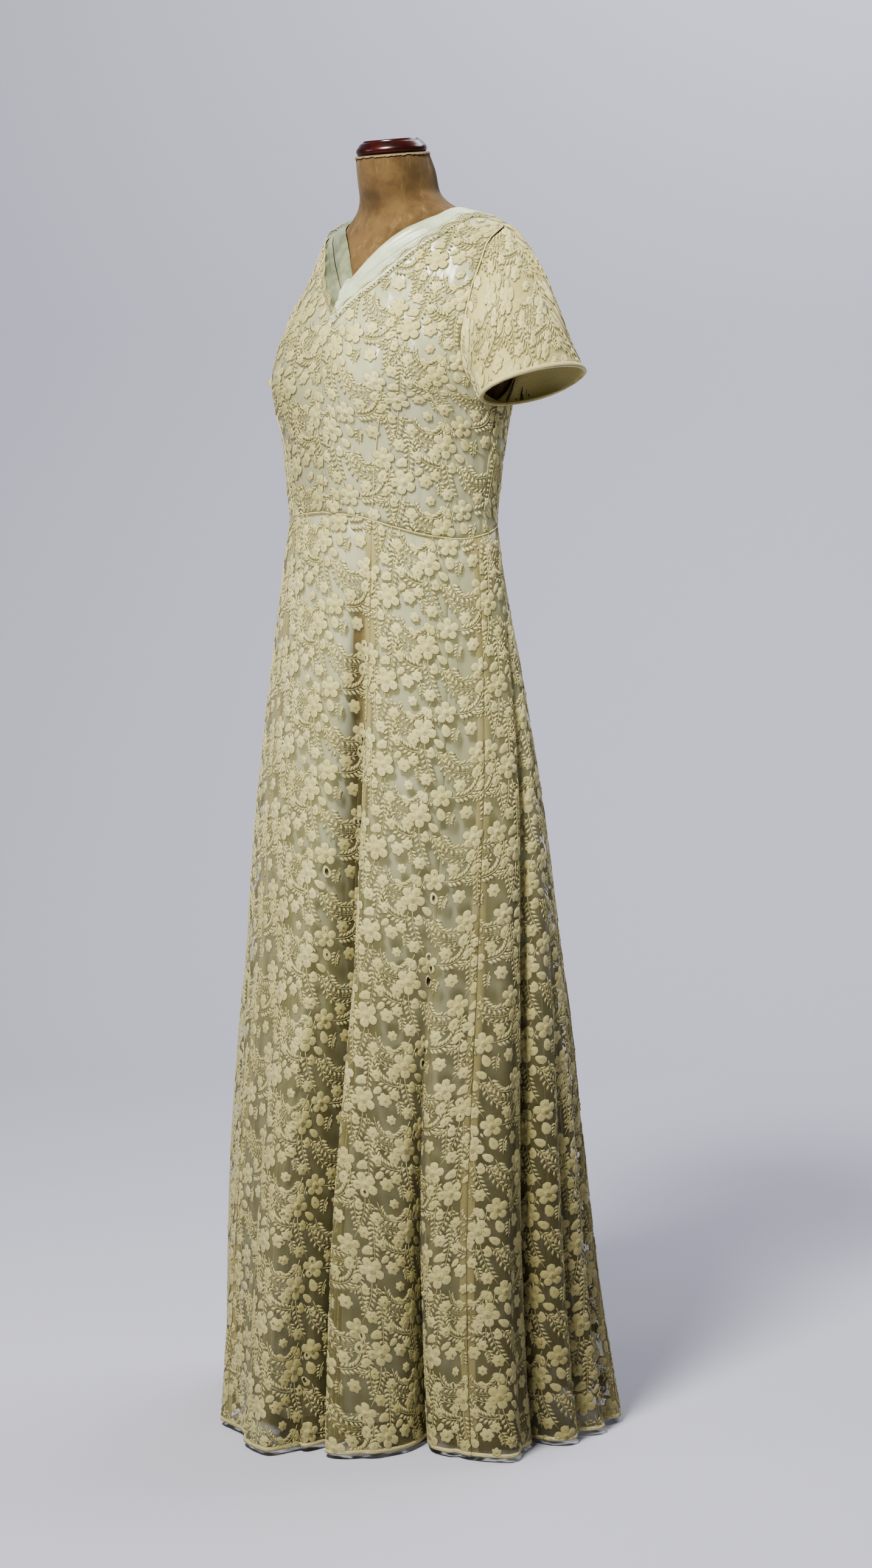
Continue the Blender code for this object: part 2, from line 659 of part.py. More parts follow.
def sleeve_place(sleeve, out):
    """Curves from the armhole to the cuff, one along each corner, moved out along the normal."""
    rim, outward, inward, mitre = armhole_loop(sleeve.side)
    middle = rim.mean(axis=0)
    turn = np.arctan2(rim[:, 1] - middle[1], rim[:, 2] - middle[2])
    over = (1.0 + np.cos(turn)) / 2.0
    x = sleeve.half_x * np.cos(turn)
    y = sleeve.half_y * np.sin(turn)
    z = sleeve.cuff_z + sleeve.lean_x * x + sleeve.lean_y * y
    cuff = np.stack([sleeve.side * (sleeve.cuff_x + x), sleeve.cuff_y + y, z], -1)

    away = sleeve_way(LEAVING, sleeve.side, over, turn)
    over_rim = np.minimum(np.sum(away * inward, axis=-1), 0.0)
    away = away - inward * over_rim[:, None]
    away = away / np.linalg.norm(away, axis=-1, keepdims=True)
    down = sleeve_way(MEETING, sleeve.side, over, turn)
    straight_out = np.clip(np.sum(away * outward, axis=-1), 0.0, 1.0)
    inset = (SLEEVE_STACK * straight_out + ROOT_CLEARANCE) * mitre
    root = rim + inward * inset[:, None]

    short = REACH_SHARE * np.linalg.norm(cuff - root, axis=-1)
    leave = (short + (sleeve.leave - short) * over)[:, None]
    meet = (short + (sleeve.meet - short) * over)[:, None]
    corners = len(root)
    shares = np.linspace(0.0, 1.0, SLEEVE_ROWS + 1)[:, None, None]
    first = root + away * leave
    second = cuff - down * meet
    wall = root * (1 - shares) ** 3 + 3 * first * shares * (1 - shares) ** 2
    wall = wall + 3 * second * shares**2 * (1 - shares) + cuff * shares**3
    wall = wall + tube_normals(wall) * out

    def place(u, v):
        spoke = np.rint(u * corners).astype(int) % corners
        if sleeve.side > 0:
            spoke = (corners - spoke) % corners
        row = np.rint((1.0 - v) * SLEEVE_ROWS).astype(int)
        return wall[row, spoke]

    return place, corners


def make_sleeves(lace, lining):
    for sleeve in SLEEVES:
        word = "left" if sleeve.side > 0 else "right"
        outside, corners = sleeve_place(sleeve, LACE_OUT)
        inside, corners = sleeve_place(sleeve, LINING_OUT)
        lay_cloth(f"sleeve_lace_{word}", corners, SLEEVE_ROWS, outside, LACE_WALL, lace, True)
        lay_cloth(f"sleeve_lining_{word}", corners, SLEEVE_ROWS, inside, LINING_WALL, lining, True)


def skirt_columns(start, end, shares):
    """Hem angles of a panel's columns, close together in the folds and wide apart between them."""
    angles = {start, end}
    for ripple, following in zip(RIPPLES, RIPPLES[1:]):
        for share in shares:
            place = ripple.hem + (following.hem - ripple.hem) * share
            for thread in (place - 360.0, place, place + 360.0):
                if start + NARROWEST < thread < end - NARROWEST:
                    angles.add(thread)
    angles = sorted(angles)
    filled = [angles[0]]
    for angle in angles[1:]:
        begin = filled[-1]
        if angle - begin < NARROWEST and angle != angles[-1]:
            continue
        at_hem = (angle - begin) / WIDEST_AT_HEM
        at_waist = (swung_angle(angle, 0.0) - swung_angle(begin, 0.0)) / WIDEST_AT_WAIST
        count = math.ceil(max(at_hem, at_waist) - 1e-9)
        for step in range(1, count + 1):
            filled.append(begin + (angle - begin) * step / count)
    return np.array(filled)


def skirt_place(columns, rows, hem_key, out, is_slip):
    """Places a panel of the skirt or slip between its hem and the waist seam."""
    ripple_share = SLIP_RIPPLE_SHARE if is_slip else 1.0
    room_drops = [r.drop for r in SLIP_ROOM]
    rooms = [r.room for r in SLIP_ROOM]

    def place(u, v):
        hem_angle = nth(columns, u)
        thread = wrap_angle(hem_angle)
        low = column(HEM, "angle", hem_key, thread)
        quarter = np.abs(column(SWING, "hem", "waist", thread))
        high = waist_height(quarter) - WAIST_SEAM_GAP
        height = low + (high - low) * nth(rows, v)
        drop = (WAIST - height) / WAIST
        inward = read_smoothly(room_drops, rooms, drop) if is_slip else 0.0 * height
        point = skirt_point(hem_angle, height, inward, ripple_share)
        step = 0.4
        round_way = skirt_point(hem_angle + step, height, inward, ripple_share)
        round_way = round_way - skirt_point(hem_angle - step, height, inward, ripple_share)
        up_way = skirt_point(hem_angle, height + 0.002, inward, ripple_share)
        up_way = up_way - skirt_point(hem_angle, height - 0.002, inward, ripple_share)
        normal = np.cross(round_way, up_way)
        normal = normal / np.linalg.norm(normal, axis=-1, keepdims=True)
        return point + normal * out

    return place


def make_skirt(lace, lining):
    seam = seam_turn(0.17)
    for name, start, end in GORES:
        columns = skirt_columns(start + seam, end - seam, RIPPLE_COLUMNS)
        place = skirt_place(columns, SKIRT_ROWS, "lace", LACE_OUT, False)
        lay_cloth(name, len(columns) - 1, len(SKIRT_ROWS) - 1, place, LACE_WALL, lace)
    for name, start, end in SLIP_PANELS:
        columns = skirt_columns(start + seam, end - seam, SLIP_RIPPLE_COLUMNS)
        place = skirt_place(columns, SLIP_ROWS, "slip", LINING_OUT, True)
        lay_cloth(name, len(columns) - 1, len(SLIP_ROWS) - 1, place, LINING_WALL, lining)


def make_form(cloth, wood, metal):
    bm = bmesh.new()
    rows = len(FORM_ROWS) - 1
    bmesh.ops.create_grid(bm, x_segments=FORM_COLUMNS, y_segments=rows, size=1.0)
    bm.verts.ensure_lookup_table()
    angle = np.array([(v.co.x + 1.0) * 180.0 for v in bm.verts])
    height = nth(FORM_ROWS, np.array([(v.co.y + 1.0) / 2.0 for v in bm.verts]))
    room = column(FORM_ROOM, "height", "room", height)
    points = body_point(angle, height, -room, FORM_CUP_SHARE)
    slope = np.clip((height - NECK_SLOPE_FROM) / (NECK_TOP - NECK_SLOPE_FROM), 0.0, 1.0)
    points[:, 2] = height + NECK_SLOPE * slope * points[:, 1]
    for vertex, point in zip(bm.verts, points):
        vertex.co = point
    bmesh.ops.remove_doubles(bm, verts=bm.verts, dist=1e-5)
    rims = [edge for edge in bm.edges if edge.is_boundary]
    bmesh.ops.holes_fill(bm, edges=rims, sides=0)
    bmesh.ops.recalc_face_normals(bm, faces=bm.faces)
    add_piece("form_torso", bm, cloth)

    cap = [
        (0.0, CAP_HEIGHT),
        (CAP_TOP_RADIUS, CAP_HEIGHT),
        (CAP_TOP_RADIUS + 0.0005, CAP_HEIGHT - 0.0018),
        (CAP_TOP_RADIUS + 0.0045, CAP_HEIGHT - 0.0040),
        (CAP_RADIUS - 0.0015, CAP_HEIGHT - 0.0085),
        (CAP_RADIUS, CAP_HEIGHT - 0.0130),
        (CAP_RADIUS, SEAM_GAP),
        (0.0, SEAM_GAP),
    ]
    turned_piece("neck_cap", cap, (0.0, 0.0, NECK_TOP), math.atan(NECK_SLOPE), wood)

    base = [
        (0.0, BASE_TOP),
        (COLLAR_RADIUS, BASE_TOP),
        (COLLAR_RADIUS, BASE_TOP - 0.010),
        (COLLAR_RADIUS + 0.012, BASE_TOP - 0.017),
        (BASE_RADIUS - 0.020, BASE_EDGE + 0.004),
        (BASE_RADIUS - 0.003, BASE_EDGE),
        (BASE_RADIUS, BASE_EDGE - 0.003),
        (BASE_RADIUS, 0.0),
        (0.0, 0.0),
    ]
    turned_piece("stand_base", base, (0.0, 0.0, 0.0), 0.0, metal)
    pole_bottom = BASE_TOP + SEAM_GAP
    pole_length = FORM_BOTTOM - SEAM_GAP - pole_bottom
    pole = [
        (0.0, pole_length),
        (POLE_RADIUS, pole_length),
        (POLE_RADIUS, 0.0),
        (0.0, 0.0),
    ]
    turned_piece("stand_pole", pole, (0.0, 0.0, pole_bottom), 0.0, wood, POLE_STEPS)


GOWN = "lace_gown_on_form"


def clear_scene():
    for thing in list(bpy.data.objects):
        bpy.data.objects.remove(thing)
    gown = bpy.data.collections.new(GOWN)
    bpy.context.scene.collection.children.link(gown)


def main():
    clear_scene()
    lace = material("cream lace", (0.72, 0.65, 0.43), 0.85)
    lining = material("pale satin lining", (0.74, 0.77, 0.66), 0.45)
    satin = material("ivory satin", (0.80, 0.82, 0.70), 0.35)
    cloth = material("aged form cloth", (0.30, 0.17, 0.06), 0.9)
    wood = material("red stained wood", (0.16, 0.03, 0.01), 0.3)
    metal = material("black painted iron", (0.03, 0.03, 0.03), 0.5, 0.6)
    make_form(cloth, wood, metal)
    make_bodice(lace, lining)
    make_neck_bands(satin)
    make_sleeves(lace, lining)
    make_skirt(lace, lining)


main()
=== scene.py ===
"""The looks of a floor-length gown of flower lace over satin, on a limbless dress form.

Metres, +Z up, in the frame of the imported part: the front faces -Y and the wearer's left is +X. Each
panel of cloth is laid on the surface of its own solid, and the lace's flowers are laid on its flat
cut, which goes with it into every fold."""

import math
from collections import namedtuple

import bmesh
import bpy
import numpy as np
from mathutils import Matrix, Vector


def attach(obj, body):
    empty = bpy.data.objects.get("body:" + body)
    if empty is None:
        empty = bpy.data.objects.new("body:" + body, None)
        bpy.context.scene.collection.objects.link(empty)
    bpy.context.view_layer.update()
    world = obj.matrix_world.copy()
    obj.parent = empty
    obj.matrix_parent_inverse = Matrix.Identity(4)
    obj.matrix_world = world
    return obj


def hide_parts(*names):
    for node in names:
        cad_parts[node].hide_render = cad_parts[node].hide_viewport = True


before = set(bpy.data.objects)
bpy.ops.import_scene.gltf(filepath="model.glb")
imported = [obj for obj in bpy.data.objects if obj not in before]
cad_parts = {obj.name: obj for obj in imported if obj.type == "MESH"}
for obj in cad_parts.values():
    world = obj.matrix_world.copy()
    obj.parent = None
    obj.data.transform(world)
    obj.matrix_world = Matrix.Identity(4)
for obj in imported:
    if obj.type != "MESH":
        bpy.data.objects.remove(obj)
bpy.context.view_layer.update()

MM = 0.001

# Cloth walls and how far out each layer lies
LACE_WALL = 0.0012
LINING_WALL = 0.0010
SLIP_WALL = 0.0006
BAND_WALL = 0.0008
NET_WALL = 0.0004
EDGE_NET_WALL = 0.0003
SEAM_ALLOWANCE_WALL = 0.0004
SEAM_GAP = 0.0003
WAIST_SEAM_GAP = 0.0006
LINING_OUT = 0.0
LACE_OUT = LINING_WALL + SEAM_GAP
NET_OUT = LACE_OUT + LACE_WALL - NET_WALL
FLOWER_SINK = 0.0001
FLOWER_OUT = LACE_OUT + LACE_WALL - FLOWER_SINK
SEAM_ALLOWANCE_SINK = 0.0005
SEAM_ALLOWANCE_OUT = NET_OUT - SEAM_ALLOWANCE_SINK

# Sewn lines that stand proud of the lace
SEAM_OUT = 0.0026
DART_RADIUS = 0.0007
ARMHOLE_SEAM_RADIUS = 0.0010
ARMHOLE_SEAM_INSET = 0.0006
WAIST_SEAM_RADIUS = 0.0009
WAIST_SEAM_SINK = 0.0004

# Turned edges: how deep they are, how far out they lie, and their wall
Turned = namedtuple("Turned", "deep lift wall")
SLIP_HEM = Turned(0.012, 0.0003, 0.0012)
GORE_HEM = Turned(0.0045, NET_OUT, 0.0016)
CUFF = Turned(0.005, 0.0020, 0.0028)
SEAM_ALLOWANCE = 0.008

# The form, and the frayed edge of its cover
FORM_BOTTOM = 0.780
NECK_TOP = 1.462
NECK_SLOPE = 0.106
NECK_SLOPE_FROM = 1.415
FRAY_DEEP = 0.0042
FRAY_OUT = 0.0004
FRAY_WALL = 0.0006
FRAY_COLUMNS = 181

# The waist seam and the bust
WAIST = 1.045
WAIST_EASE_TOP = 1.130
CUP_SPACING = 0.078
CUP_HEIGHT = 1.213
CUP_SPREAD = 0.040
CUP_DEPTH = 0.018
FORM_CUP_SHARE = 0.75
SHOULDER_TOP = 1.386

# Spacing of the cloth's grids
CUT_SAMPLES = 160
FIND_ROUNDS = 3
GORE_GAP = 0.05
FINE_COLUMN = 0.00432
PLAIN_COLUMN = 0.00864
SLIP_COLUMN = 0.012
HEM_HEIGHT = 0.05
EVEN_SHARE = 0.001
BODICE_ROW_COUNT = 46
FRONT_COLUMN_COUNT = 30
FRONT_EVEN_QUARTER = 62.0
BACK_COLUMN_COUNT = 48
BACK_EVEN_QUARTER = 125.0
BODICE_GAP = 0.085
CLIMB_FROM = 1.350
LOOP_COUNT = 24
ROOT_INSET = 0.0031
REACH_SHARE = 0.36
SLEEVE_ROW_COUNT = 22

# Neck bands: their grids, where they start from the middle of the front, and how far they puff out
BAND_COLUMNS = 112
BAND_ROWS = 17
BAND_GAP = 0.35
BAND_CROSS = -2.2
BAND_PUFF = 0.0012

# The lace's edge along the bands: its reach and its scallops in millimetres, and how far out it lies
# at its inner side, on the neckline and over the satin
EDGE_INSIDE = 1.0
EDGE_OVER = 11.0
SCALLOP_WIDE = 28.0
EDGE_LIFTS = [0.0028, 0.0036, 0.0046]
EDGE_THREAD_OUT = 0.0002
EDGE_COLUMNS = 420

# The photo's camera
CAMERA_PLACE = (2.935, -2.643, 1.12)
CAMERA_AZIMUTH = 48.0
CAMERA_PITCH = 5.4745
CAMERA_YAW = 0.7316
CAMERA_LENS = 78.608

# The studio's lights, the light of its room, and its paper along the line of sight
Light = namedtuple("Light", "name place target size energy colour")
LIGHTS = [
    Light("key", (0.70, -1.75, 2.95), (0.0, 0.0, 1.2), 0.7, 142.0, (1.0, 0.99, 0.95)),
    Light("side", (-1.6, -2.6, 1.9), (0.0, 0.0, 1.0), 1.2, 11.0, (0.97, 0.98, 1.0)),
    Light("wall", (-0.6, 2.4, 3.6), (-2.6, 2.2, 1.0), 2.2, 78.0, (0.95, 0.96, 1.0)),
    Light("back", (1.0, 2.6, 3.3), (0.0, 0.0, 0.9), 1.6, 38.0, (0.97, 0.98, 1.0)),
]
ROOM_COLOUR = (0.86, 0.87, 0.94, 1.0)
ROOM_STRENGTH = 0.13
PAPER_NEAR = -6.0
PAPER_FAR = 2.2
PAPER_BEND = 1.4
PAPER_TOP = 6.0
PAPER_HALF_WIDTH = 7.0

# How the body is rounded at each height: half width and the reach to the front and back (Y), the Y of
# its widest place, and the exponent of its front and back curve, where 2 is an ellipse.
Section = namedtuple(
    "Section", "height half_width front back side front_round back_round", defaults=(2.0, 2.0)
)
BODY = [
    Section(0.780, 0.158, -0.110, 0.106, 0.016),
    Section(0.840, 0.160, -0.112, 0.107, 0.016),
    Section(0.900, 0.158, -0.1125, 0.103, 0.014),
    Section(0.960, 0.1520, -0.1100, 0.0940, 0.012),
    Section(1.000, 0.1455, -0.1075, 0.0885, 0.012),
    Section(1.045, 0.1365, -0.1035, 0.0895, 0.012),
    Section(1.100, 0.1390, -0.1105, 0.0925, 0.016, 2.0, 2.05),
    Section(1.140, 0.1420, -0.1130, 0.0965, 0.020, 2.0, 2.1),
    Section(1.168, 0.1450, -0.1150, 0.0985, 0.022, 2.0, 2.2),
    Section(1.200, 0.1500, -0.1130, 0.1010, 0.026, 2.0, 2.3),
    Section(1.230, 0.1540, -0.1080, 0.1040, 0.031, 1.95, 2.4),
    Section(1.265, 0.1580, -0.0990, 0.1060, 0.038, 1.85, 2.5),
    Section(1.295, 0.1590, -0.0870, 0.1070, 0.045, 1.72, 2.5),
    Section(1.325, 0.1570, -0.0730, 0.1070, 0.050, 1.62, 2.4),
    Section(1.355, 0.1510, -0.0580, 0.1050, 0.052, 1.60, 2.3),
    Section(1.370, 0.1400, -0.0500, 0.1030, 0.052, 1.60, 2.2),
    Section(1.380, 0.1210, -0.0440, 0.1000, 0.050, 1.62, 2.15),
    Section(1.390, 0.0930, -0.0380, 0.0940, 0.042, 1.75, 2.0),
    Section(1.398, 0.0720, -0.0350, 0.0840, 0.031, 1.9, 2.0),
    Section(1.408, 0.0560, -0.0340, 0.0695, 0.019),
    Section(1.420, 0.0480, -0.0370, 0.0600, 0.0115),
    Section(1.440, 0.0465, -0.0400, 0.0540, 0.0065),
    Section(1.462, 0.0430, -0.0430, 0.0430, 0.0),
]

# The skirt's inner surface over the ridges of its folds.
SKIRT = [
    Section(0.000, 0.2535, -0.1665, 0.2450, 0.053),
    Section(0.080, 0.2475, -0.1665, 0.2265, 0.046),
    Section(0.140, 0.2435, -0.1665, 0.2125, 0.041),
    Section(0.220, 0.2375, -0.1665, 0.2005, 0.036),
    Section(0.300, 0.2315, -0.1645, 0.1915, 0.032),
    Section(0.380, 0.2245, -0.1595, 0.1835, 0.029),
    Section(0.460, 0.2175, -0.1535, 0.1775, 0.026),
    Section(0.540, 0.2085, -0.1450, 0.1655, 0.024),
    Section(0.620, 0.2005, -0.1420, 0.1545, 0.022),
    Section(0.700, 0.1925, -0.1365, 0.1445, 0.020),
    Section(0.780, 0.1825, -0.1280, 0.1285, 0.018),
    Section(0.840, 0.1735, -0.1225, 0.1175, 0.016),
    Section(0.900, 0.1635, -0.1160, 0.1065, 0.014),
    Section(0.960, 0.1525, -0.1105, 0.0945, 0.012),
    Section(1.000, 0.1455, -0.1075, 0.0885, 0.012),
    Section(1.045, 0.1365, -0.1035, 0.0895, 0.012),
    Section(1.060, 0.1365, -0.1045, 0.0900, 0.013),
]

# How far the padded form lies inside the cloth.
FormRoom = namedtuple("FormRoom", "height room")
FORM_ROOM = [
    FormRoom(0.780, 0.0060),
    FormRoom(1.000, 0.0050),
    FormRoom(1.045, 0.0028),
    FormRoom(1.310, 0.0028),
    FormRoom(1.350, 0.0080),
    FormRoom(1.365, 0.0100),
    FormRoom(1.382, 0.0090),
    FormRoom(1.398, 0.0050),
    FormRoom(1.415, 0.0022),
    FormRoom(1.462, 0.0015),
]

# Where the middle of the front runs, in degrees round the body: the front closes a little to the
# wearer's left.
CentreFront = namedtuple("CentreFront", "height turn")
CENTRE_FRONT = [
    CentreFront(1.045, 1.5),
    CentreFront(1.060, 1.5),
    CentreFront(1.100, 4.0),
    CentreFront(1.150, 5.0),
    CentreFront(1.400, 5.0),
]

# The neckline round each side, by quarter: 0 is the middle of the front, 90 the shoulder and 180 the
# middle of the back. Heights of the opening, of the fold between the two bands and of the lace's edge.
Neckline = namedtuple("Neckline", "quarter opening fold lace")
NECKLINE = [
    Neckline(0.0, 1.3190, 1.2940, 1.2680),
    Neckline(5.0, 1.3390, 1.3120, 1.2830),
    Neckline(10.0, 1.3540, 1.3260, 1.2960),
    Neckline(16.0, 1.3660, 1.3390, 1.3100),
    Neckline(24.0, 1.3755, 1.3540, 1.3320),
    Neckline(32.0, 1.3805, 1.3640, 1.3480),
    Neckline(42.0, 1.3855, 1.3725, 1.3610),
    Neckline(56.0, 1.3905, 1.3815, 1.3740),
    Neckline(70.0, 1.3950, 1.3885, 1.3825),
    Neckline(80.0, 1.3975, 1.3910, 1.3860),
    Neckline(90.0, 1.3985, 1.3920, 1.3864),
    Neckline(120.0, 1.3975, 1.3890, 1.3820),
    Neckline(150.0, 1.3930, 1.3830, 1.3740),
    Neckline(180.0, 1.3900, 1.3790, 1.3690),
]

# The armhole's front and back edge, in the same quarters.
Armhole = namedtuple("Armhole", "height front back")
ARMHOLE = [
    Armhole(1.177, 90.0, 90.0),
    Armhole(1.190, 79.0, 103.0),
    Armhole(1.206, 72.0, 110.0),
    Armhole(1.228, 67.0, 115.0),
    Armhole(1.260, 63.5, 118.0),
    Armhole(1.300, 63.0, 117.5),
    Armhole(1.330, 66.0, 114.0),
    Armhole(1.355, 70.0, 109.0),
    Armhole(1.3644, 75.0, 104.0),
    Armhole(1.377, 90.0, 90.0),
]

# The waist seam's height round the body.
WaistSeam = namedtuple("WaistSeam", "quarter height")
WAIST_SEAM = [
    WaistSeam(0.0, 1.0570),
    WaistSeam(20.0, 1.0530),
    WaistSeam(40.0, 1.0410),
    WaistSeam(58.0, 1.0310),
    WaistSeam(75.0, 1.0270),
    WaistSeam(92.0, 1.0320),
    WaistSeam(115.0, 1.0400),
    WaistSeam(145.0, 1.0450),
    WaistSeam(180.0, 1.0470),
]

# A thread of the skirt that hangs at one angle at the hem starts at another angle at the waist.
Swing = namedtuple("Swing", "hem waist")
SWING = [
    Swing(-180.0, -180.0),
    Swing(-122.0, -140.0),
    Swing(-56.0, -86.0),
    Swing(-15.0, -29.0),
    Swing(0.0, -4.0),
    Swing(17.6, 29.0),
    Swing(56.0, 86.0),
    Swing(122.0, 140.0),
    Swing(180.0, 180.0),
]
SWING_EASE = 1.7

# The skirt's ripples, a row for each ridge and valley: the angle at the hem, how far out it stands
# there from the plain sections, and the height that it starts from.
Ripple = namedtuple("Ripple", "hem out top")
RIPPLES = [
    Ripple(-180.0, -0.028, 0.84),
    Ripple(-169.0, 0.006, 0.80),
    Ripple(-157.0, -0.030, 0.88),
    Ripple(-145.0, 0.004, 0.80),
    Ripple(-133.0, -0.026, 0.66),
    Ripple(-121.0, 0.006, 0.80),
    Ripple(-109.0, -0.032, 0.90),
    Ripple(-98.0, 0.006, 0.80),
    Ripple(-86.0, -0.022, 0.62),
    Ripple(-75.0, 0.006, 0.80),
    Ripple(-64.0, -0.030, 0.86),
    Ripple(-50.0, 0.002, 0.80),
    Ripple(-37.0, 0.000, 0.80),
    Ripple(-28.0, -0.006, 0.62),
    Ripple(-18.0, 0.034, 0.62),
    Ripple(-9.0, 0.032, 0.70),
    Ripple(1.0, 0.060, 0.70),
    Ripple(8.0, 0.068, 0.74),
    Ripple(10.8, 0.030, 0.52),
    Ripple(13.2, 0.054, 0.60),
    Ripple(16.0, -0.002, 0.99),
    Ripple(18.8, 0.034, 0.80),
    Ripple(28.0, 0.020, 0.70),
    Ripple(35.5, -0.016, 0.60),
    Ripple(40.5, -0.050, 0.60),
    Ripple(45.5, -0.022, 0.60),
    Ripple(55.0, 0.002, 0.70),
    Ripple(66.0, 0.020, 0.70),
    Ripple(71.5, -0.012, 0.80),
    Ripple(80.0, -0.026, 0.96),
    Ripple(90.0, -0.008, 0.80),
    Ripple(99.0, -0.022, 0.66),
    Ripple(108.0, -0.004, 0.80),
    Ripple(115.0, -0.018, 0.80),
    Ripple(123.0, 0.004, 0.80),
    Ripple(137.0, 0.004, 0.80),
    Ripple(149.0, -0.028, 0.66),
    Ripple(160.0, 0.006, 0.80),
    Ripple(171.0, -0.012, 0.72),
    Ripple(180.0, -0.028, 0.84),
]
RIPPLE_GROWTH = 1.25

# Hem heights round the skirt, and how far the slip hangs inside the lace from the waist down.
Hem = namedtuple("Hem", "angle lace slip")
HEM = [
    Hem(-180.0, 0.008, 0.052),
    Hem(-90.0, 0.008, 0.048),
    Hem(-30.0, 0.007, 0.042),
    Hem(0.0, 0.006, 0.036),
    Hem(25.0, 0.006, 0.034),
    Hem(60.0, 0.006, 0.046),
    Hem(100.0, 0.007, 0.056),
    Hem(180.0, 0.008, 0.052),
]
SlipRoom = namedtuple("SlipRoom", "drop room")
SLIP_ROOM = [
    SlipRoom(0.00, 0.0004),
    SlipRoom(0.06, 0.0014),
    SlipRoom(0.20, 0.0040),
    SlipRoom(0.45, 0.0090),
    SlipRoom(0.75, 0.0150),
    SlipRoom(1.00, 0.0210),
]

# The skirt's two layers: the rows of their grids, which hem they have, how much they take up of the
# slip's room, the ripples and the creases, and the size and start of their small waves.
Layer = namedtuple("Layer", "rows hem inward ripples creases crinkle seed")
LACE_LAYER = Layer(45, "lace", 0.0, 1.0, 1.0, 0.0007, 0.0)
SLIP_LAYER = Layer(32, "slip", 1.0, 0.8, 1.2, 0.0008, 3.0)

# Gores of the lace skirt and panels of the slip: the angles at the hem where each starts and ends, and
# the width of its grid's columns.
Panel = namedtuple("Panel", "name start end column")
GORES = [
    Panel("skirt_front", -15.0, 17.6, FINE_COLUMN),
    Panel("skirt_side_front_left", 17.6, 56.0, FINE_COLUMN),
    Panel("skirt_side_back_left", 56.0, 122.0, PLAIN_COLUMN),
    Panel("skirt_back", 122.0, 238.0, PLAIN_COLUMN),
    Panel("skirt_side_back_right", 238.0, 304.0, PLAIN_COLUMN),
    Panel("skirt_side_front_right", 304.0, 345.0, FINE_COLUMN),
]
SLIP_PANELS = [
    Panel("slip_front", -42.0, 42.0, SLIP_COLUMN),
    Panel("slip_side_left", 42.0, 112.0, SLIP_COLUMN),
    Panel("slip_back_left", 112.0, 160.0, SLIP_COLUMN),
    Panel("slip_back", 160.0, 215.0, SLIP_COLUMN),
    Panel("slip_back_right", 215.0, 262.0, SLIP_COLUMN),
    Panel("slip_side_right", 262.0, 318.0, SLIP_COLUMN),
]

# The sign of each side in X, and its word in the names of pieces
SIDES = ((1, "left"), (-1, "right"))

# The sleeves: the cuff's middle and half widths, how the cuff's plane leans, and the reach of the
# curve that leaves the armhole and of the one that meets the cuff.
Sleeve = namedtuple("Sleeve", "side cuff_x cuff_y cuff_z half_x half_y lean_x lean_y leave meet")
SLEEVES = [
    Sleeve(1, 0.195, 0.037, 1.1985, 0.037, 0.070, 0.505, 0.083, 0.036, 0.044),
    Sleeve(-1, 0.185, 0.042, 1.2000, 0.023, 0.067, 0.505, 0.0, 0.044, 0.044),
]

# Which way a sleeve's top leaves the armhole and meets the cuff: out from the body, to the front or
# back, and down.
SleeveWay = namedtuple("SleeveWay", "out spread down")
LEAVING = SleeveWay(0.78, 0.35, 0.55)
MEETING = SleeveWay(0.40, 0.22, 0.95)


def unit(vectors):
    """The same directions, with a length of 1."""
    return vectors / np.linalg.norm(vectors, axis=-1, keepdims=True)


def eased_shares(count):
    """Shares from 0 to 1 that lie closer together at both ends."""
    return (1.0 - np.cos(math.pi * np.linspace(0.0, 1.0, count))) / 2.0


def run_along(points):
    """How far along a path each of its points is."""
    steps = np.linalg.norm(np.diff(points, axis=0), axis=1)
    return np.concatenate([[0.0], np.cumsum(steps)])


def read_smoothly(places, values, place):
    """Reads a table along a smooth curve that never overshoots its rows."""
    places = np.asarray(places, float)
    values = np.asarray(values, float)
    place = np.clip(place, places[0], places[-1])
    steps = np.diff(places)
    rises = np.diff(values) / steps
    slopes = np.concatenate([rises[:1], np.zeros(len(rises) - 1), rises[-1:]])
    same_way = rises[:-1] * rises[1:] > 0
    safe = np.where(rises == 0.0, 1.0, rises)
    first = 2.0 * steps[1:] + steps[:-1]
    second = steps[1:] + 2.0 * steps[:-1]
    spread = np.where(same_way, first / safe[:-1] + second / safe[1:], 1.0)
    slopes[1:-1] = np.where(same_way, (first + second) / spread, 0.0)
    row = np.clip(np.searchsorted(places, place, side="right") - 1, 0, len(steps) - 1)
    step = steps[row]
    t = (place - places[row]) / step
    start = values[row] * (1 + 2 * t) * (1 - t) ** 2 + step * slopes[row] * t * (1 - t) ** 2
    end = values[row + 1] * t * t * (3 - 2 * t) + step * slopes[row + 1] * t * t * (t - 1)
    return start + end


def column(table, key, value, place):
    """One named column of a table, read at places of its key column."""
    return read_smoothly([getattr(r, key) for r in table], [getattr(r, value) for r in table], place)


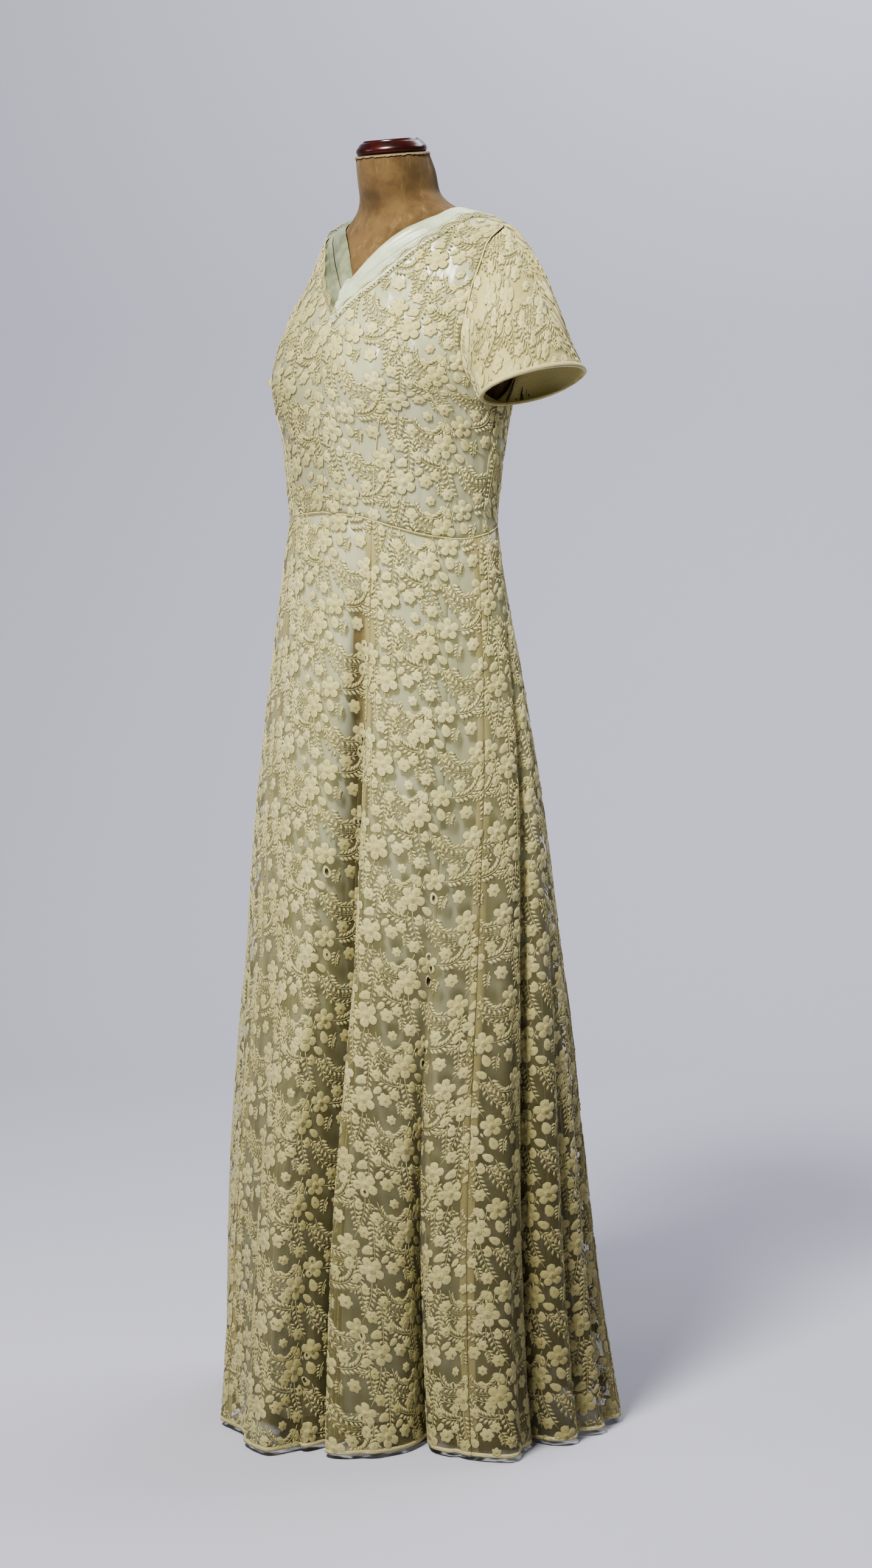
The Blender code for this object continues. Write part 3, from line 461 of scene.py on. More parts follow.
def section_point(table, angle, height, cup_share=0.0):
    """A point of a rounded section. The angle is in degrees from the front to the wearer's left."""
    turn = np.radians(angle)
    across = np.sin(turn)
    ahead = np.cos(turn)
    half_width = column(table, "height", "half_width", height)
    side = column(table, "height", "side", height)
    front = side - column(table, "height", "front", height)
    back = column(table, "height", "back", height) - side
    front_round = column(table, "height", "front_round", height)
    back_round = column(table, "height", "back_round", height)
    power = np.where(ahead >= 0, front_round, back_round)
    reach = (np.abs(across) ** power + np.abs(ahead) ** power) ** (-1 / power)
    x = half_width * reach * across
    y = side - np.where(ahead >= 0, front, back) * reach * ahead
    off_cup = (np.abs(x) - CUP_SPACING) ** 2 + (height - CUP_HEIGHT) ** 2
    cup = CUP_DEPTH * np.exp(-off_cup / (2 * CUP_SPREAD**2)) * np.clip(3 * ahead, 0, 1)
    return np.stack([x, y - cup_share * cup, height + 0 * x], -1)


def body_point(angle, height, out=0.0, cup_share=1.0):
    """A point on the body surface, moved out along its normal."""
    angle, height = np.broadcast_arrays(np.asarray(angle, float), np.asarray(height, float))
    turn = 0.5
    rise = 0.001
    point = section_point(BODY, angle, height, cup_share)
    round_way = section_point(BODY, angle + turn, height, cup_share)
    round_way = round_way - section_point(BODY, angle - turn, height, cup_share)
    up_way = section_point(BODY, angle, height + rise, cup_share)
    up_way = up_way - section_point(BODY, angle, height - rise, cup_share)
    return point + unit(np.cross(round_way, up_way)) * np.asarray(out)[..., None]


def angle_of(quarter, height, side):
    """The angle round the body of a quarter, 0 to 180, on the left (1) or the right (-1)."""
    middle = column(CENTRE_FRONT, "height", "turn", height)
    share = np.clip(np.asarray(quarter, float) / 90.0, 0.0, 1.0)
    past = np.maximum(np.asarray(quarter, float) - 90.0, 0.0)
    return side * (past + 90.0 * share) + middle * (1.0 - share)


def waist_height(quarter):
    return column(WAIST_SEAM, "quarter", "height", np.abs(quarter))


def wrap_angle(angle):
    """The same angle between -180 and 180 degrees."""
    return angle - 360.0 * np.round(np.asarray(angle, float) / 360.0)


def swung_angle(hem_angle, drop):
    """The angle of a skirt thread at a drop of 0 at the waist to 1 at the hem."""
    thread = wrap_angle(hem_angle)
    at_waist = column(SWING, "hem", "waist", thread)
    share = 1.0 - (1.0 - np.clip(drop, 0.0, 1.0)) ** SWING_EASE
    return at_waist + (thread - at_waist) * share + (hem_angle - thread)


def ripple_out(hem_angle, height):
    """How far a thread stands out from the plain skirt at a height."""
    thread = wrap_angle(hem_angle)
    top = column(RIPPLES, "hem", "top", thread)
    fall = np.clip((top - height) / top, 0.0, 1.0)
    return column(RIPPLES, "hem", "out", thread) * fall**RIPPLE_GROWTH


def skirt_point(hem_angle, height, inward=0.0, ripple_share=1.0):
    """A point of the skirt on a thread, moved in from its plain section and out with its ripple."""
    angle = swung_angle(hem_angle, (WAIST - height) / WAIST)
    turn = 0.5
    point = section_point(SKIRT, angle, height)
    round_way = section_point(SKIRT, angle + turn, height) - section_point(SKIRT, angle - turn, height)
    outward = unit(np.stack([round_way[..., 1], -round_way[..., 0], np.zeros(point.shape[:-1])], -1))
    out = ripple_out(hem_angle, height) * ripple_share - inward
    return point + outward * out[..., None]


def neck_edge(key, quarter):
    return column(NECKLINE, "quarter", key, quarter)


def lace_edge_quarter(height):
    """The quarter at which the lace's neck edge in front has a height."""
    rows = [r for r in NECKLINE if r.quarter <= 90.0]
    quarters = np.linspace(0.0, 90.0, 361)
    heights = read_smoothly([r.quarter for r in rows], [r.lace for r in rows], quarters)
    return np.interp(height, heights, quarters)


def ease_to_waist(angle, height):
    """Lets the lowest rows follow the waist seam."""
    ease = np.clip((WAIST_EASE_TOP - height) / (WAIST_EASE_TOP - WAIST), 0.0, 1.0)
    quarter = np.where(np.abs(angle) > 180.0, 360.0 - np.abs(angle), np.abs(angle))
    return height + (waist_height(quarter) + WAIST_SEAM_GAP - WAIST) * ease


def armhole_edge(key, height):
    """The armhole's edge, or the side and shoulder seam above and below it."""
    inside = (height >= ARMHOLE[0].height - 1e-6) & (height <= ARMHOLE[-1].height + 1e-6)
    return np.where(inside, column(ARMHOLE, "height", key, height), 90.0)


def sleeve_way(way, side, over, turn):
    """A sleeve's direction round its tube, as a unit vector."""
    out = side * (1.0 - (1.0 - way.out) * over)
    return unit(np.stack([out, way.spread * np.sin(turn), -way.down * over], -1))


def grid_normals(points):
    """Outward unit normals of a grid of points that runs round to the left and up."""
    round_way = np.gradient(points, axis=1)
    up_way = np.gradient(points, axis=0)
    normal = np.cross(round_way, up_way)
    return normal / np.maximum(np.linalg.norm(normal, axis=-1, keepdims=True), 1e-12)


def read_grid(grid, row, place):
    """Reads a grid between its points, at rows and columns given as numbers with a fraction."""
    row = np.clip(row, 0.0, grid.shape[0] - 1.0)
    place = np.clip(place, 0.0, grid.shape[1] - 1.0)
    low = np.minimum(row.astype(int), grid.shape[0] - 2)
    left = np.minimum(place.astype(int), grid.shape[1] - 2)
    up = (row - low).reshape(row.shape + (1,) * (grid.ndim - 2))
    along = (place - left).reshape(row.shape + (1,) * (grid.ndim - 2))
    below = grid[low, left] * (1 - along) + grid[low, left + 1] * along
    above = grid[low + 1, left] * (1 - along) + grid[low + 1, left + 1] * along
    return below * (1 - up) + above * up


class Cloth:
    """A panel as a grid of points, rows from its hem up and columns round to the left, with the place
    of each point on the flat cut: across from its grain line and down from its top edge."""

    def __init__(self, points, across=None):
        self.points = points
        self.normals = grid_normals(points)
        self.rows, self.columns = points.shape[:2]
        steps = np.linalg.norm(np.diff(points, axis=1), axis=-1)
        run = np.concatenate([np.zeros((self.rows, 1)), np.cumsum(steps, axis=1)], axis=1)
        self.across = run - run[:, -1:] / 2.0 if across is None else across
        rises = np.linalg.norm(np.diff(points, axis=0), axis=-1)
        self.height = np.concatenate([np.zeros((1, self.columns)), np.cumsum(rises, axis=0)])
        self.length = self.height[-1]
        shares = np.linspace(0.0, 1.0, CUT_SAMPLES)
        numbers = np.arange(self.columns)
        self.cut = np.stack([np.interp(r[0] + shares * (r[-1] - r[0]), r, numbers) for r in self.across])
        self.rise = np.stack([np.interp(shares * h[-1], h, np.arange(self.rows)) for h in self.height.T])

    def find(self, x, y):
        """Rows and columns of flat places, and whether the places are on the cut."""
        mean = self.length.mean()
        row = np.clip(1.0 - y / mean, 0.0, 1.0) * (self.rows - 1)
        for _ in range(FIND_ROUNDS):
            left = np.interp(row, np.arange(self.rows), self.across[:, 0])
            right = np.interp(row, np.arange(self.rows), self.across[:, -1])
            share = (x - left) / (right - left)
            place = read_grid(self.cut, row, np.clip(share, 0.0, 1.0) * (CUT_SAMPLES - 1))
            length = np.interp(place, np.arange(self.columns), self.length)
            up = 1.0 - y / length
            row = read_grid(self.rise, place, np.clip(up, 0.0, 1.0) * (CUT_SAMPLES - 1))
        inside = (share >= 0.0) & (share <= 1.0) & (up >= 0.0) & (up <= 1.0)
        return row, place, inside

    def put(self, x, y, lift):
        """Places flat points on the cloth, lifted off it."""
        row, place = self.find(x, y)[:2]
        normal = read_grid(self.normals, row, place)
        return read_grid(self.points, row, place) + normal * np.asarray(lift)[..., None]

    def area(self):
        """The area of the flat cut."""
        wide = self.across[:, -1] - self.across[:, 0]
        rise = np.diff(self.height, axis=0).mean(axis=1)
        return float(np.sum((wide[1:] + wide[:-1]) / 2.0 * rise))

    def flat(self):
        """The width and length of the uncut piece."""
        return float((self.across[:, -1] - self.across[:, 0]).max()), float(self.length.max())


def link(name, mesh, finish):
    """Makes a piece of a mesh, which rides on the part's one body."""
    mesh.name = name
    piece = bpy.data.objects.new(name, mesh)
    bpy.context.scene.collection.objects.link(piece)
    piece.data.materials.append(finish)
    mesh.shade_smooth()
    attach(piece, "root")
    return piece


def grid_mesh(name, points, flat):
    """A sheet of quads from a grid of points, with its flat place as its UV map."""
    rows, columns = points.shape[:2]
    bm = bmesh.new()
    bmesh.ops.create_grid(bm, x_segments=columns - 1, y_segments=rows - 1, size=1.0)
    mesh = bpy.data.meshes.new(name)
    bm.to_mesh(mesh)
    bm.free()
    spots = np.empty(len(mesh.vertices) * 3)
    mesh.vertices.foreach_get("co", spots)
    spots = spots.reshape(-1, 3)
    column_number = np.rint((spots[:, 0] + 1.0) / 2.0 * (columns - 1)).astype(int)
    row_number = np.rint((spots[:, 1] + 1.0) / 2.0 * (rows - 1)).astype(int)
    mesh.vertices.foreach_set("co", points[row_number, column_number].ravel())
    corners = np.empty(len(mesh.loops), dtype=int)
    mesh.loops.foreach_get("vertex_index", corners)
    layer = mesh.uv_layers.new(name="Flat")
    layer.data.foreach_set("uv", flat[row_number[corners], column_number[corners]].ravel())
    mesh.update()
    return mesh


def thicken(piece, wall, offset=1.0):
    """Gives a sheet its wall: outward of it, or on both sides of it where offset is 0."""
    wall_modifier = piece.modifiers.new("Wall", "SOLIDIFY")
    wall_modifier.thickness = wall
    wall_modifier.offset = offset
    wall_modifier.use_even_offset = False


def lay_panel(name, cloth, out, wall, finish):
    """A thin shell on a panel of cloth."""
    points = cloth.points + cloth.normals * out
    flat = np.stack([cloth.across, cloth.height], -1)
    piece = link(name, grid_mesh(name, points, flat), finish)
    thicken(piece, wall)
    return piece


def declare(cloth):
    """Works out a sheet's flat size and area before it was laid, and keeps neither."""
    cloth.flat()
    cloth.area()


def close_mesh(mesh, distance):
    """Joins the edges of a grid that meet, and caps its open ends."""
    bm = bmesh.new()
    bm.from_mesh(mesh)
    bmesh.ops.remove_doubles(bm, verts=bm.verts, dist=distance)
    cap_ends(bm)
    bm.to_mesh(mesh)
    bm.free()


def cap_ends(bm):
    rims = [edge for edge in bm.edges if edge.is_boundary]
    if rims:
        bmesh.ops.holes_fill(bm, edges=rims, sides=0)
    bmesh.ops.recalc_face_normals(bm, faces=bm.faces)


def take_body(bm):
    """The points and the triangles of a small body, whose mesh is freed."""
    bmesh.ops.triangulate(bm, faces=bm.faces)
    bm.verts.index_update()
    points = np.array([tuple(v.co) for v in bm.verts])
    corners = np.array([[v.index for v in f.verts] for f in bm.faces])
    bm.free()
    return points, corners


# The lace's flowers, as low closed bodies of unit size. Each is turned, scaled and laid many times.
def unit_body(sides, slope, dish=0.0, shape=None):
    """A low round body from height 0 to 1, sunk in its middle, or pointed where slope is 0."""
    bm = bmesh.new()
    bmesh.ops.create_cone(bm, cap_ends=True, segments=sides, radius1=1.0, radius2=slope, depth=1.0)
    bmesh.ops.translate(bm, verts=bm.verts, vec=(0.0, 0.0, 0.5))
    if dish:
        top = max(bm.faces, key=lambda f: f.calc_center_median().z)
        middle = bmesh.ops.poke(bm, faces=[top])["verts"][0]
        middle.co.z = 1.0 - dish
    if shape:
        for vertex in bm.verts:
            vertex.co.x, vertex.co.y = shape(vertex.co.x, vertex.co.y)
    bmesh.ops.remove_doubles(bm, verts=bm.verts, dist=1e-5)
    return take_body(bm)


def petal_shape(x, y):
    """Round at the tip, at +1, and narrow at the root."""
    return x, y * (0.78 + 0.22 * x)


def leaf_shape(x, y):
    """Pointed at both ends."""
    return x, y * (1.0 - 0.45 * x * x)


def scalloped(petals, depth):
    """Draws a round edge in between petals."""
    def shape(x, y):
        pull = 1.0 - depth * (0.5 - 0.5 * math.cos(petals * math.atan2(y, x)))
        return x * pull, y * pull
    return shape


def cord_body(path, radius, sides=3):
    """A thin cord along a flat path of (x, y) points, lying on the cloth."""
    path = np.asarray(path, float)
    ahead = unit(np.gradient(path, axis=0))
    bm = bmesh.new()
    bmesh.ops.create_grid(bm, x_segments=len(path) - 1, y_segments=sides, size=1.0)
    for vertex in bm.verts:
        station = round((vertex.co.x + 1.0) / 2.0 * (len(path) - 1))
        turn = math.tau * (vertex.co.y + 1.0) / 2.0 + math.pi / 2.0
        aside = radius * math.cos(turn)
        rise = radius * (math.sin(turn) + 0.5)
        x, y = path[station] + np.array([-ahead[station][1], ahead[station][0]]) * aside
        vertex.co = (x, y, rise)
    bmesh.ops.remove_doubles(bm, verts=bm.verts, dist=radius * 0.01)
    cap_ends(bm)
    return take_body(bm)


def smooth_path(points, count):
    """A smooth path of so many stations through a few points."""
    points = np.asarray(points, float)
    run = run_along(points)
    places = np.linspace(0.0, run[-1], count)
    return np.stack([read_smoothly(run, points[:, axis], places) for axis in range(2)], -1)


class LaceRepeat:
    """The bodies of one repeat of the lace, in millimetres of flat cloth."""

    def __init__(self, wide, tall):
        self.wide = wide * MM
        self.tall = tall * MM
        self.points = []
        self.rises = []
        self.corners = []
        self.owners = []
        self.centres = []
        self.count = 0

    def add(self, body, x, y, wide, tall, high, turn=0.0, lift=0.0, foot=0.0):
        """Adds a body of unit size at (x, y). Where foot is more than 0, less shade is painted on its base.
        """
        points, corners = body
        cos, sin = math.cos(math.radians(turn)), math.sin(math.radians(turn))
        across = points[:, 0] * wide
        along = points[:, 1] * tall
        placed = np.stack([
            x + across * cos - along * sin,
            y + across * sin + along * cos,
            lift + points[:, 2] * high,
        ], -1)
        self.corners.append(corners + self.count)
        self.points.append(placed)
        # Each point's share of its body's height, which sets the painted shade at the body's foot
        self.rises.append(np.clip(points[:, 2] / points[:, 2].max(), foot, 1.0))
        self.owners.append(np.full(len(placed), len(self.centres)))
        self.centres.append((float(placed[:, 0].mean()), float(placed[:, 1].mean())))
        self.count += len(placed)

    def add_cord(self, path, radius, foot=0.0):
        self.add(cord_body(path, radius), 0.0, 0.0, 1.0, 1.0, 1.0, foot=foot)

    def finish(self):
        """Joins the bodies and turns millimetres into metres."""
        self.points = np.concatenate(self.points) * MM
        self.rises = np.concatenate(self.rises)
        # The cut is measured down and the surface up, so the corners run the other way round.
        self.corners = np.concatenate(self.corners)[:, ::-1]
        self.owners = np.concatenate(self.owners)
        self.centres = np.array(self.centres) * MM
        self.face_owners = self.owners[self.corners[:, 0]]


# The bodies and the flowers of one repeat, in millimetres
PETAL = unit_body(8, 0.84, 0.75, petal_shape)
LEAF = unit_body(5, 0.0, shape=leaf_shape)
SIX_PETALS = unit_body(18, 0.88, 0.55, scalloped(6, 0.30))
FIVE_PETALS = unit_body(10, 0.86, 0.60, scalloped(5, 0.26))
RING = unit_body(5, 0.72, 0.90)

Rose = namedtuple("Rose", "x y radius turn")
ROSES = [
    Rose(3.0, 31.0, 14.5, 10.0),
    Rose(26.0, 8.0, 13.0, 50.0),
]
Petal = namedtuple("Petal", "x y length width turn")
LOOSE_PETALS = [
    Petal(6.0, 10.0, 8.0, 6.5, 215.0),
    Petal(27.0, 28.0, 8.0, 7.0, 70.0),
    Petal(20.0, 43.0, 7.5, 6.0, 35.0),
    Petal(-13.0, 17.0, 6.5, 5.0, 225.0),
    Petal(12.0, 54.0, 7.0, 6.0, 85.0),
]
SmallFlower = namedtuple("SmallFlower", "x y radius turn")
CLUSTER_FLOWERS = [
    SmallFlower(-7.0, 65.0, 7.6, 15.0),
    SmallFlower(8.0, 84.0, 8.4, 0.0),
    SmallFlower(-11.0, 0.0, 6.6, 40.0),
]
FERN_FLOWERS = [
    SmallFlower(55.0, 26.0, 9.2, 10.0),
    SmallFlower(46.0, 89.0, 8.6, 0.0),
]
Fern = namedtuple("Fern", "path pairs leaf")
CLUSTER_STEMS = [
    Fern(((4, 45), (6, 60), (11, 75), (19, 92)), 7, 8.6),
    Fern(((0, 46), (-2, 56), (-4, 62)), 2, 6.4),
    Fern(((16, 50), (25, 58), (33, 57)), 4, 7.0),
]
FERNS = [
    Fern(((36, 9), (49, 8), (60, 3), (67, -7), (71, -20), (72, -32)), 12, 9.6),
    Fern(((72, -30), (73, -10), (74, 12), (77, 38)), 10, 9.0),
    Fern(((28, 46), (33, 58), (43, 66), (54, 66), (63, 59), (67, 47)), 11, 9.4),
    Fern(((22, 54), (27, 69), (38, 80), (50, 83), (62, 78), (71, 65)), 9, 7.6),
    Fern(((42, 22), (38, 30), (37, 42)), 4, 7.6),
]
LATTICE = ((27, 58), (33, 69), (43, 75), (54, 75), (63, 69), (69, 60))
REPEAT_WIDE = 130.0
REPEAT_TALL = 93.5


def add_rose(lace, x, y, radius, turn):
    """Five outlined petals round an inner ring of five and a small open centre."""
    for number in range(5):
        angle = turn + 72.0 * number
        reach = radius * 0.55
        px = x + reach * math.cos(math.radians(angle))
        py = y + reach * math.sin(math.radians(angle))
        lace.add(PETAL, px, py, radius * 0.47, radius * 0.50, 0.65, angle, 0.06 * number)
    lace.add(FIVE_PETALS, x, y, radius * 0.42, radius * 0.42, 1.05, turn + 36.0)
    lace.add(RING, x, y, radius * 0.18, radius * 0.18, 1.45)


def add_small_flower(lace, x, y, radius, turn):
    lace.add(SIX_PETALS, x, y, radius, radius, 0.65, turn)
    lace.add(RING, x, y, radius * 0.26, radius * 0.26, 1.05)


def add_fern(lace, path, pairs, leaf, mirror):
    """A stem with pairs of leaves that get smaller towards its tip."""
    stations = smooth_path([mirror(*point) for point in path], pairs + 3)
    lace.add_cord(stations, 0.52, 0.5)
    ahead = np.gradient(stations, axis=0)
    for number in range(1, pairs + 1):
        heading = math.degrees(math.atan2(ahead[number][1], ahead[number][0]))
        size = leaf * (1.0 - 0.30 * number / pairs)
        for side in (-1, 1):
            angle = heading + side * 48.0
            px = stations[number][0] + size * 0.62 * math.cos(math.radians(angle))
            py = stations[number][1] + size * 0.62 * math.sin(math.radians(angle))
            lace.add(LEAF, px, py, size * 0.56, size * 0.26, 0.9, angle, 0.0, 0.4)


def add_lattice(lace, path, mirror):
    """Open checks of thin threads behind a fern."""
    middle = smooth_path([mirror(*point) for point in path], 13)
    ahead = unit(np.gradient(middle, axis=0))
    aside = np.stack([-ahead[:, 1], ahead[:, 0]], -1)
    for off in (-2.6, 0.0, 2.6):
        lace.add_cord(middle[::2] + aside[::2] * off, 0.30)
    for spot, across in zip(middle, aside):
        lace.add_cord([spot - across * 4.0, spot + across * 4.0], 0.30)


def make_repeat():
    """One repeat: a column of rose clusters and a column of ferns, twice, half a repeat apart."""
    lace = LaceRepeat(REPEAT_WIDE, REPEAT_TALL)
    for half in range(2):
        right = half * REPEAT_WIDE / 2.0
        down = half * REPEAT_TALL / 2.0

        def in_cluster(x, y):
            return (right + (26.0 - x if half else x), down + y)

        def in_ferns(x, y):
            return (right + (102.0 - x if half else x), down + y)

        def turned(turn):
            return 180.0 - turn if half else turn

        for rose in ROSES:
            add_rose(lace, *in_cluster(rose.x, rose.y), rose.radius, turned(rose.turn))
        for petal in LOOSE_PETALS:
            spot = in_cluster(petal.x, petal.y)
            lace.add(PETAL, *spot, petal.length, petal.width, 0.6, turned(petal.turn))
        for flower in CLUSTER_FLOWERS:
            add_small_flower(lace, *in_cluster(flower.x, flower.y), flower.radius, flower.turn)
        for flower in FERN_FLOWERS:
            add_small_flower(lace, *in_ferns(flower.x, flower.y), flower.radius, flower.turn)
        for stem in CLUSTER_STEMS:
            add_fern(lace, stem.path, stem.pairs, stem.leaf, in_cluster)
        for fern in FERNS:
            add_fern(lace, fern.path, fern.pairs, fern.leaf, in_ferns)
        add_lattice(lace, LATTICE, in_ferns)
    lace.finish()
    return lace


def mesh_of(name, points, corners, flat, rises):
    mesh = bpy.data.meshes.new(name)
    mesh.vertices.add(len(points))
    mesh.vertices.foreach_set("co", points.ravel())
    mesh.loops.add(corners.size)
    mesh.loops.foreach_set("vertex_index", corners.ravel())
    mesh.polygons.add(len(corners))
    mesh.polygons.foreach_set("loop_start", np.arange(0, corners.size, 3))
    layer = mesh.uv_layers.new(name="Flat")
    layer.data.foreach_set("uv", flat[corners.ravel()].ravel())
    # Rise sets the painted shade at the foot of each flower
    mesh.attributes.new("Rise", "FLOAT", "POINT").data.foreach_set("value", rises)
    mesh.update(calc_edges=True)
    return mesh


def lay_flowers(name, cloth, lace, finish, lift, start=(0.0, 0.0)):
    """Lays the repeat all over a panel and cuts it off at the panel's edges."""
    points, corners, places, rises, total = [], [], [], [], 0
    left, right = cloth.across.min(), cloth.across.max()
    first = math.floor((left - start[0]) / lace.wide) - 1
    last = math.ceil((right - start[0]) / lace.wide) + 1
    lowest = math.ceil((cloth.length.max() - start[1]) / lace.tall) + 1
    for step_x in range(first, last):
        for step_y in range(-2, lowest):
            move = np.array([start[0] + step_x * lace.wide, start[1] + step_y * lace.tall])
            centres = lace.centres + move
            if centres[:, 0].max() < left or centres[:, 0].min() > right:
                continue
            inside = cloth.find(centres[:, 0], centres[:, 1])[2]
            if not inside.any():
                continue
            kept = inside[lace.owners]
            number = np.cumsum(kept) - 1
            flat = lace.points[kept]
            points.append(cloth.put(flat[:, 0] + move[0], flat[:, 1] + move[1], flat[:, 2] + lift))
            places.append(flat[:, :2] + move)
            rises.append(lace.rises[kept])
            corners.append(number[lace.corners[inside[lace.face_owners]]] + total)
            total += int(kept.sum())
    rises = np.concatenate(rises)
    mesh = mesh_of(name, np.concatenate(points), np.concatenate(corners), np.concatenate(places), rises)
    return link(name, mesh, finish)


# The main creases: the angle and the half width in degrees at the hem, the depth there, and the height
# that each starts from. The deepest, with shade painted into it, is at FOLD_ACROSS from the middle of
# the skirt.
Crease = namedtuple("Crease", "hem width depth top")
CREASES = [
    Crease(-20.5, 1.6, 0.006, 0.70), Crease(-3.5, 1.4, 0.007, 0.66), Crease(15.0, 2.5, 0.058, 1.02),
    Crease(27.0, 1.7, 0.005, 0.60), Crease(40.5, 1.7, 0.026, 0.72), Crease(52.0, 1.6, 0.006, 0.58),
    Crease(80.0, 2.2, 0.032, 0.99), Crease(99.0, 2.2, 0.010, 0.72), Crease(149.0, 2.4, 0.010, 0.70),
    Crease(180.0, 2.6, 0.010, 0.80), Crease(203.0, 2.4, 0.012, 0.84), Crease(251.0, 2.4, 0.012, 0.86),
    Crease(296.0, 2.4, 0.012, 0.84),
]
CREASE_SPREAD = 0.8
CREASE_RUN = 0.6
CREASE_EASE = 1.1
FOLD_ACROSS = 0.054

# Small waves of the cloth, in degrees round the skirt, and how far they lean over its height.
Wave = namedtuple("Wave", "pitch phase")
WAVES = [Wave(11.0, 0.7), Wave(7.3, 2.1), Wave(4.7, 4.4)]
WAVE_LEAN = 14.0


def crease_depth(threads, height):
    """How far the main creases fall in. They get deeper over a run down from their tops."""
    depth = np.zeros(height.shape)
    for crease in CREASES:
        off = wrap_angle(threads - crease.hem) / (crease.width * (1.0 + CREASE_SPREAD * height))
        fall = np.clip((crease.top - height) / CREASE_RUN, 0.0, 1.0) ** CREASE_EASE
        depth = depth + crease.depth * np.exp(-(off**2)) * fall
    return depth


def even_threads(start, end, width):
    """Hem angles that are evenly spaced along the ripples of the hem."""
    fine = np.arange(start, end + 0.05, 0.1)
    fine[-1] = end
    points = skirt_point(fine, np.full(fine.shape, HEM_HEIGHT))
    steps = np.linalg.norm(np.diff(points, axis=0), axis=1) + EVEN_SHARE * np.diff(fine)
    run = np.concatenate([[0.0], np.cumsum(steps)])
    count = max(int(round(run[-1] / width)), 6)
    return np.interp(np.linspace(0.0, run[-1], count + 1), run, fine)


def crinkle(threads, height, size, seed):
    """Small soft waves of the cloth, which grow down from the waist."""
    total = np.zeros(threads.shape)
    for number, wave in enumerate(WAVES):
        lean = WAVE_LEAN * height * (1 if number % 2 else -1)
        total += np.sin(math.tau * (threads + lean) / wave.pitch + wave.phase + seed) / (1.0 + number)
    fall = np.clip((WAIST - height) / WAIST, 0.0, 1.0)
    return size * total * fall * (1.4 - fall)


def skirt_cloth(panel, layer):
    """A gore of the lace skirt or a panel of the slip, from the hem to the waist seam."""
    threads = even_threads(panel.start + GORE_GAP, panel.end - GORE_GAP, panel.column)
    thread = wrap_angle(threads)
    low = column(HEM, "angle", layer.hem, thread)
    high = waist_height(np.abs(column(SWING, "hem", "waist", thread))) - WAIST_SEAM_GAP
    height = low + (high - low) * np.linspace(0.0, 1.0, layer.rows)[:, None]
    hem_angle = np.broadcast_to(threads, height.shape)
    inward = layer.inward * column(SLIP_ROOM, "drop", "room", (WAIST - height) / WAIST)
    inward = inward - crinkle(hem_angle, height, layer.crinkle, layer.seed)
    inward = inward + crease_depth(hem_angle, height) * layer.creases
    return Cloth(skirt_point(hem_angle, height, inward, layer.ripples))


def even_heights(side, quarter, rows):
    """Heights that are evenly spaced up the bodice along one quarter."""
    fine = np.linspace(WAIST, SHOULDER_TOP, 240)
    run = run_along(body_point(angle_of(quarter, fine, side), fine))
    return np.interp(np.linspace(0.0, run[-1], rows), run, fine)


def front_cloth(side):
    """A bodice front from its middle line and neck edge to the side seam and the armhole."""
    height = even_heights(side, FRONT_EVEN_QUARTER, BODICE_ROW_COUNT)[:, None]
    inner = np.where(height > NECKLINE[0].lace, lace_edge_quarter(height), 0.0) + BODICE_GAP
    outer = armhole_edge("front", height) - BODICE_GAP
    share = np.linspace(0.0, 1.0, FRONT_COLUMN_COUNT)[None, :]
    share = share if side > 0 else 1.0 - share
    quarter = inner + (outer - inner) * share
    tall = ease_to_waist(angle_of(quarter, height, side), height)
    points = body_point(angle_of(quarter, tall, side), tall)
    return Cloth(points, from_middle(quarter, tall, side))


def from_middle(quarter, height, side):
    """How far points lie round the body from the middle of the front, at their own heights."""
    track = quarter[..., None] * np.linspace(0.0, 1.0, 25)
    tall = np.broadcast_to(height[..., None], track.shape)
    points = body_point(angle_of(track, tall, side), tall)
    return side * np.linalg.norm(np.diff(points, axis=-2), axis=-1).sum(axis=-1)


def back_cloth():
    """The bodice back, in one piece from side seam to side seam."""
    height = even_heights(1, BACK_EVEN_QUARTER, BODICE_ROW_COUNT)[:, None]
    edge = armhole_edge("back", height) + BODICE_GAP
    turn = edge + (360.0 - 2.0 * edge) * np.linspace(0.0, 1.0, BACK_COLUMN_COUNT)[None, :]
    quarter = np.where(turn > 180.0, 360.0 - turn, turn)
    climb = np.clip((height - CLIMB_FROM) / (SHOULDER_TOP - CLIMB_FROM), 0.0, 1.0)
    tall = np.where(climb > 0.0, CLIMB_FROM + (neck_edge("lace", quarter) - CLIMB_FROM) * climb, height)
    tall = ease_to_waist(turn, tall)
    return Cloth(body_point(turn, tall))


def armhole_loop(side):
    """The armhole's edge, from the shoulder down its front and up its back, with the directions
    there: out from the body, and inward to the middle of the hole."""
    reach = ARMHOLE[0].height + (ARMHOLE[-1].height - ARMHOLE[0].height) * eased_shares(LOOP_COUNT)
    front = armhole_edge("front", reach)
    back = armhole_edge("back", reach)
    quarters = np.concatenate([front[::-1], back[1:-1]])
    tall = np.concatenate([reach[::-1], reach[1:-1]])
    angles = angle_of(quarters, tall, side)
    rim = body_point(angles, tall)
    outward = unit(body_point(angles, tall, MM) - rim)
    inward = unit(np.cross(outward, np.roll(rim, -1, axis=0) - np.roll(rim, 1, axis=0)))
    inward = inward * np.sign(np.sum(inward * (rim.mean(axis=0) - rim), axis=-1).mean())
    return rim, outward, inward


